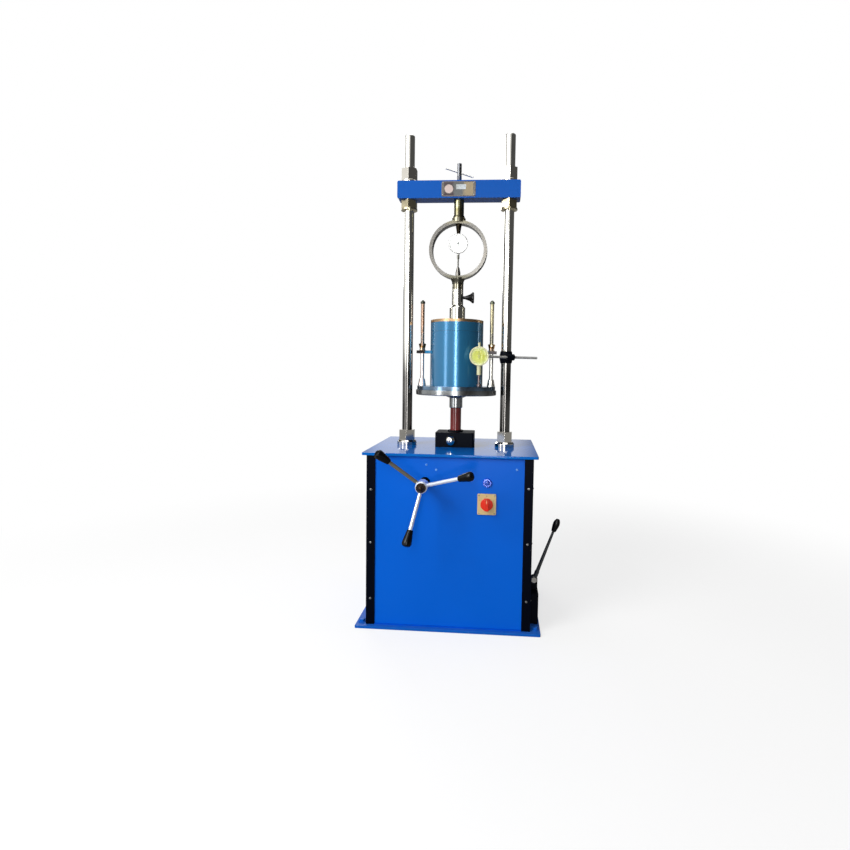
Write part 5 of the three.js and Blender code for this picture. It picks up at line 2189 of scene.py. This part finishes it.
@dataclass
class SpeedBox(SubAssembly):
    """The black gearbox with its lever, the motor and the drive inside the cabinet."""

    box_edge: float = 1.0
    lever_edge: float = 0.4
    knob_edge: float = 0.5
    casting_edge: float = 0.6
    shaft_edge: float = 0.4
    wheel_edge: float = 0.3
    motor_edge: float = 0.8

    def build(self) -> None:
        """Makes the pieces."""
        self.dress("black_iron", self.box_edge, "speed_gearbox")
        self.dress("lever_grey", self.lever_edge, "shift_lever")
        self.dress("chrome", self.lever_edge, "lever_pivot_bolt")
        self.dress("black_plastic", self.knob_edge, "lever_knob")
        self.dress("cast_grey", self.casting_edge, "gear_case", "shaft_pulley", "gearbox_pulley")
        self.dress("bright_steel", self.shaft_edge, "worm_shaft", "front_bearing", "rear_bearing")
        self.dress("bronze", self.wheel_edge, "worm_wheel")
        self.dress("belt_rubber", self.shaft_edge, "drive_belt")
        self.dress("motor_grey", self.motor_edge, "motor")


@dataclass
class DialGauge(SubAssembly):
    """The gauge that reads how far the ram has come, on its rod and its clamp.

    Attributes:
        centre: The middle of the seat of its card.
        radius: The inside radius of its bezel.
        card: The card's colour.
        aged: The colour of the card's edge.
    """

    centre: Point = (76.0, -95.0, 806.0)
    radius: float = 25.5
    card: Colour = (138, 140, 8)
    aged: Colour = (160, 164, 136)
    clamp_edge: float = 0.8
    rod_edge: float = 0.3
    case_edge: float = 0.5
    stem_edge: float = 0.4

    def build(self) -> None:
        """Makes the pieces."""
        self.dress("black_iron", self.clamp_edge, "column_clamp")
        self.dress("rod_pale", self.rod_edge, "gauge_rod")
        self.dress("dial_cream", self.case_edge, "dial_case")
        self.dress("needle_black", 0.0, "dial_needle")
        self.dress("stem_metal", self.stem_edge, "dial_spindle")
        Dial(
            self.finishes,
            name="lift_dial",
            body="gauge_arm",
            centre=self.centre,
            radius=self.radius,
            card=self.card,
            aged=self.aged,
            bezel="dial_cream",
            ink="print_olive",
        ).build()


@dataclass(frozen=True)
class Lamp:
    """One soft lamp, which shines at the object's middle.

    Attributes:
        place: Where it is, in metres.
        width: Its width, in metres.
        height: Its height, in metres.
        power: Its power, in watts.
    """

    place: Point
    width: float
    height: float
    power: float


@dataclass
class Studio:
    """A pale floor, soft lamps, a white room that is dark to the right, and the camera.

    Lengths are in metres here, and angles in degrees.

    Attributes:
        floor_radius: The floor's radius.
        near: Where the floor starts to fade to white.
        far: Where it is white.
        paper: How pale the floor is.
        ambient: How bright the room's even light is.
        dark_sides: The bearings of the room's dark parts from the front, with half their widths.
        dark_gloss: How bright a dark part is in gloss.
        dark_light: How much of the even light a dark part gives.
        dark_edge: Half the width of a dark part's soft edge.
        camera_at: Where the camera is.
        yaw: How far it is turned to the left.
        pitch: How far it looks down.
        roll: How far it leans.
        lens: Its focal length, in millimetres.
        sensor: The width of its sensor, in millimetres.
        shift: How far its picture is shifted, as shares of its width.
        target: What the lamps shine at.
        lamps: The lamps.
    """

    floor_radius: float = 14.0
    near: float = 0.9
    far: float = 2.2
    paper: float = 0.3
    ambient: float = 0.34
    dark_sides: tuple[Flat, ...] = ((95.0, 82.0), (-138.0, 28.0))
    dark_gloss: float = 0.08
    dark_light: float = 0.12
    dark_edge: float = 3.0
    camera_at: Point = (0.14354, -1.77714, 0.75221)
    yaw: float = 4.26
    pitch: float = 3.60
    roll: float = 0.91
    lens: float = 23.456
    sensor: float = 36.0
    shift: Flat = (-0.04035, -0.01946)
    target: Point = (0.0, 0.0, 0.75)
    lamps: tuple[Lamp, ...] = (
        Lamp((-1.9, -2.1, 2.3), 1.5, 1.5, 74.0),
        Lamp((0.03, -3.2, 1.0), 0.4, 1.9, 32.0),
        Lamp((-2.2, -2.3, 0.9), 0.6, 1.6, 12.0),
        Lamp((0.1, 0.1, 3.3), 1.8, 1.8, 26.0),
        Lamp((-1.3, 2.3, 2.0), 1.2, 1.2, 20.0),
    )

    def build(self) -> None:
        """Makes the whole studio."""
        self.add_world()
        self.add_floor()
        self.add_lamps()
        self.add_camera()

    def darkness(self, graph: Graph) -> Socket:
        """Finds out how far a direction points at a dark part of the room.

        Args:
            graph: The world's graph.

        Returns:
            A value from 0 to 1.
        """
        ray = graph.add("ShaderNodeTexCoord").outputs["Generated"]
        parts = graph.parts(ray)
        level = graph.add("ShaderNodeCombineXYZ", {"X": parts["X"], "Y": parts["Y"]}).outputs[0]
        level = graph.vector("NORMALIZE", level).outputs[0]
        dark: Any = 0.0
        for bearing, half in self.dark_sides:
            turn = math.radians(bearing)
            towards = (math.sin(turn), -math.cos(turn), 0.0)
            near = graph.vector("DOT_PRODUCT", level, towards).outputs["Value"]
            edges = [math.cos(math.radians(half + out)) for out in (self.dark_edge, -self.dark_edge)]
            dark = graph.math("MAXIMUM", dark, graph.between(near, *edges))
        return dark

    def add_world(self) -> None:
        """Makes the white room round the object."""
        world = bpy.data.worlds.new("studio")
        bpy.context.scene.world = world
        world.use_nodes = True
        graph = Graph(world.node_tree)
        path = graph.add("ShaderNodeLightPath").outputs
        dark = self.darkness(graph)
        light = graph.math("MULTIPLY", graph.between(dark, 0.0, 1.0, 1.0, self.dark_light), self.ambient)
        gloss = graph.between(dark, 0.0, 1.0, 1.0, self.dark_gloss)
        lit, mirrored, seen = (
            graph.add("ShaderNodeBackground", {"Color": WHITE, "Strength": strength}).outputs[0]
            for strength in (light, gloss, 1.0)
        )
        both = graph.add("ShaderNodeMixShader", {0: path["Is Glossy Ray"], 1: lit, 2: mirrored}).outputs[0]
        looked_at = graph.math("MAXIMUM", path["Is Camera Ray"], path["Is Transmission Ray"])
        final = graph.add("ShaderNodeMixShader", {0: looked_at, 1: both, 2: seen}).outputs[0]
        graph.add("ShaderNodeOutputWorld", {"Surface": final})

    def floor_material(self) -> bpy.types.Material:
        """Makes the floor's material, which keeps the object's shadow and fades to white.

        Returns:
            The material.
        """
        material = bpy.data.materials.new("pale_floor")
        material.use_nodes = True
        graph = Graph(material.node_tree)
        away = graph.vector("LENGTH", graph.place()).outputs["Value"]
        path = graph.add("ShaderNodeLightPath").outputs
        looked_at = graph.math("MAXIMUM", path["Is Camera Ray"], path["Is Transmission Ray"])
        glow = graph.between(away, self.near, self.far, 1.0 - self.paper, 1.0)
        glow = graph.math("MULTIPLY", glow, looked_at)
        glint = graph.between(away, self.near, self.far, 0.0, self.paper)
        glint = graph.math("MULTIPLY", glint, path["Is Glossy Ray"])
        shine = graph.math("ADD", glow, glint)
        grain = graph.between(graph.noise(graph.place(), 3.0, 3.0), 0.2, 0.8, 0.99, 1.0)
        tone = graph.math("MULTIPLY", graph.between(away, self.near, self.far, self.paper, 0.0), grain)
        tones = {name: tone for name in ("Red", "Green", "Blue")}
        colour = graph.add("ShaderNodeCombineColor", tones).outputs[0]
        diffuse = graph.add("ShaderNodeBsdfDiffuse", {"Color": colour}).outputs[0]
        emitted = graph.add("ShaderNodeEmission", {"Color": WHITE, "Strength": shine}).outputs[0]
        both = graph.add("ShaderNodeAddShader", {0: diffuse, 1: emitted}).outputs[0]
        graph.add("ShaderNodeOutputMaterial", {"Surface": both})
        return material

    def add_floor(self) -> None:
        """Makes the pale floor."""
        mesh = bmesh.new()
        bmesh.ops.create_circle(mesh, cap_ends=True, radius=self.floor_radius, segments=96)
        data = bpy.data.meshes.new("floor")
        mesh.to_mesh(data)
        mesh.free()
        data.materials.append(self.floor_material())
        floor = bpy.data.objects.new("floor", data)
        bpy.context.scene.collection.objects.link(floor)

    def add_lamps(self) -> None:
        """Makes the soft lamps."""
        for i, lamp in enumerate(self.lamps):
            data = bpy.data.lights.new(f"lamp_{i}", "AREA")
            data.shape = "RECTANGLE"
            data.size = lamp.width
            data.size_y = lamp.height
            data.energy = lamp.power
            shade = bpy.data.objects.new(f"lamp_{i}", data)
            shade.location = lamp.place
            ahead = Vector(self.target) - Vector(lamp.place)
            shade.rotation_euler = ahead.to_track_quat("-Z", "Y").to_euler()
            bpy.context.scene.collection.objects.link(shade)

    def add_camera(self) -> None:
        """Makes the camera, at the place that the photograph was taken from."""
        yaw, pitch, roll = (math.radians(a) for a in (self.yaw, self.pitch, self.roll))
        level = Vector((-math.sin(yaw), math.cos(yaw), 0))
        ahead = level * math.cos(pitch) - Vector((0, 0, math.sin(pitch)))
        right = ahead.cross(Vector((0, 0, 1))).normalized()
        up = right.cross(ahead)
        right, up = (
            math.cos(roll) * right + math.sin(roll) * up,
            -math.sin(roll) * right + math.cos(roll) * up,
        )
        data = bpy.data.cameras.new("camera")
        data.lens = self.lens
        data.sensor_width = self.sensor
        data.shift_x, data.shift_y = self.shift
        camera = bpy.data.objects.new("camera", data)
        facing = Matrix((right, up, -ahead)).transposed().to_4x4()
        camera.matrix_world = Matrix.Translation(Vector(self.camera_at)) @ facing
        bpy.context.scene.collection.objects.link(camera)
        bpy.context.scene.camera = camera


SUB_ASSEMBLIES: tuple[type[SubAssembly], ...] = (
    Cabinet,
    Columns,
    Crosshead,
    Threads,
    ProvingRing,
    Plunger,
    Mould,
    Ram,
    Handwheel,
    Controls,
    SpeedBox,
    DialGauge,
)


def main() -> None:
    """Builds the sub-assemblies and the studio."""
    logging.basicConfig(level=logging.INFO, format="%(message)s")
    bpy.context.scene.view_settings.view_transform = "Standard"
    finishes = Finishes()
    for kind in SUB_ASSEMBLIES:
        kind(finishes).build()
    Studio().build()


if __name__ == "__main__":
    main()
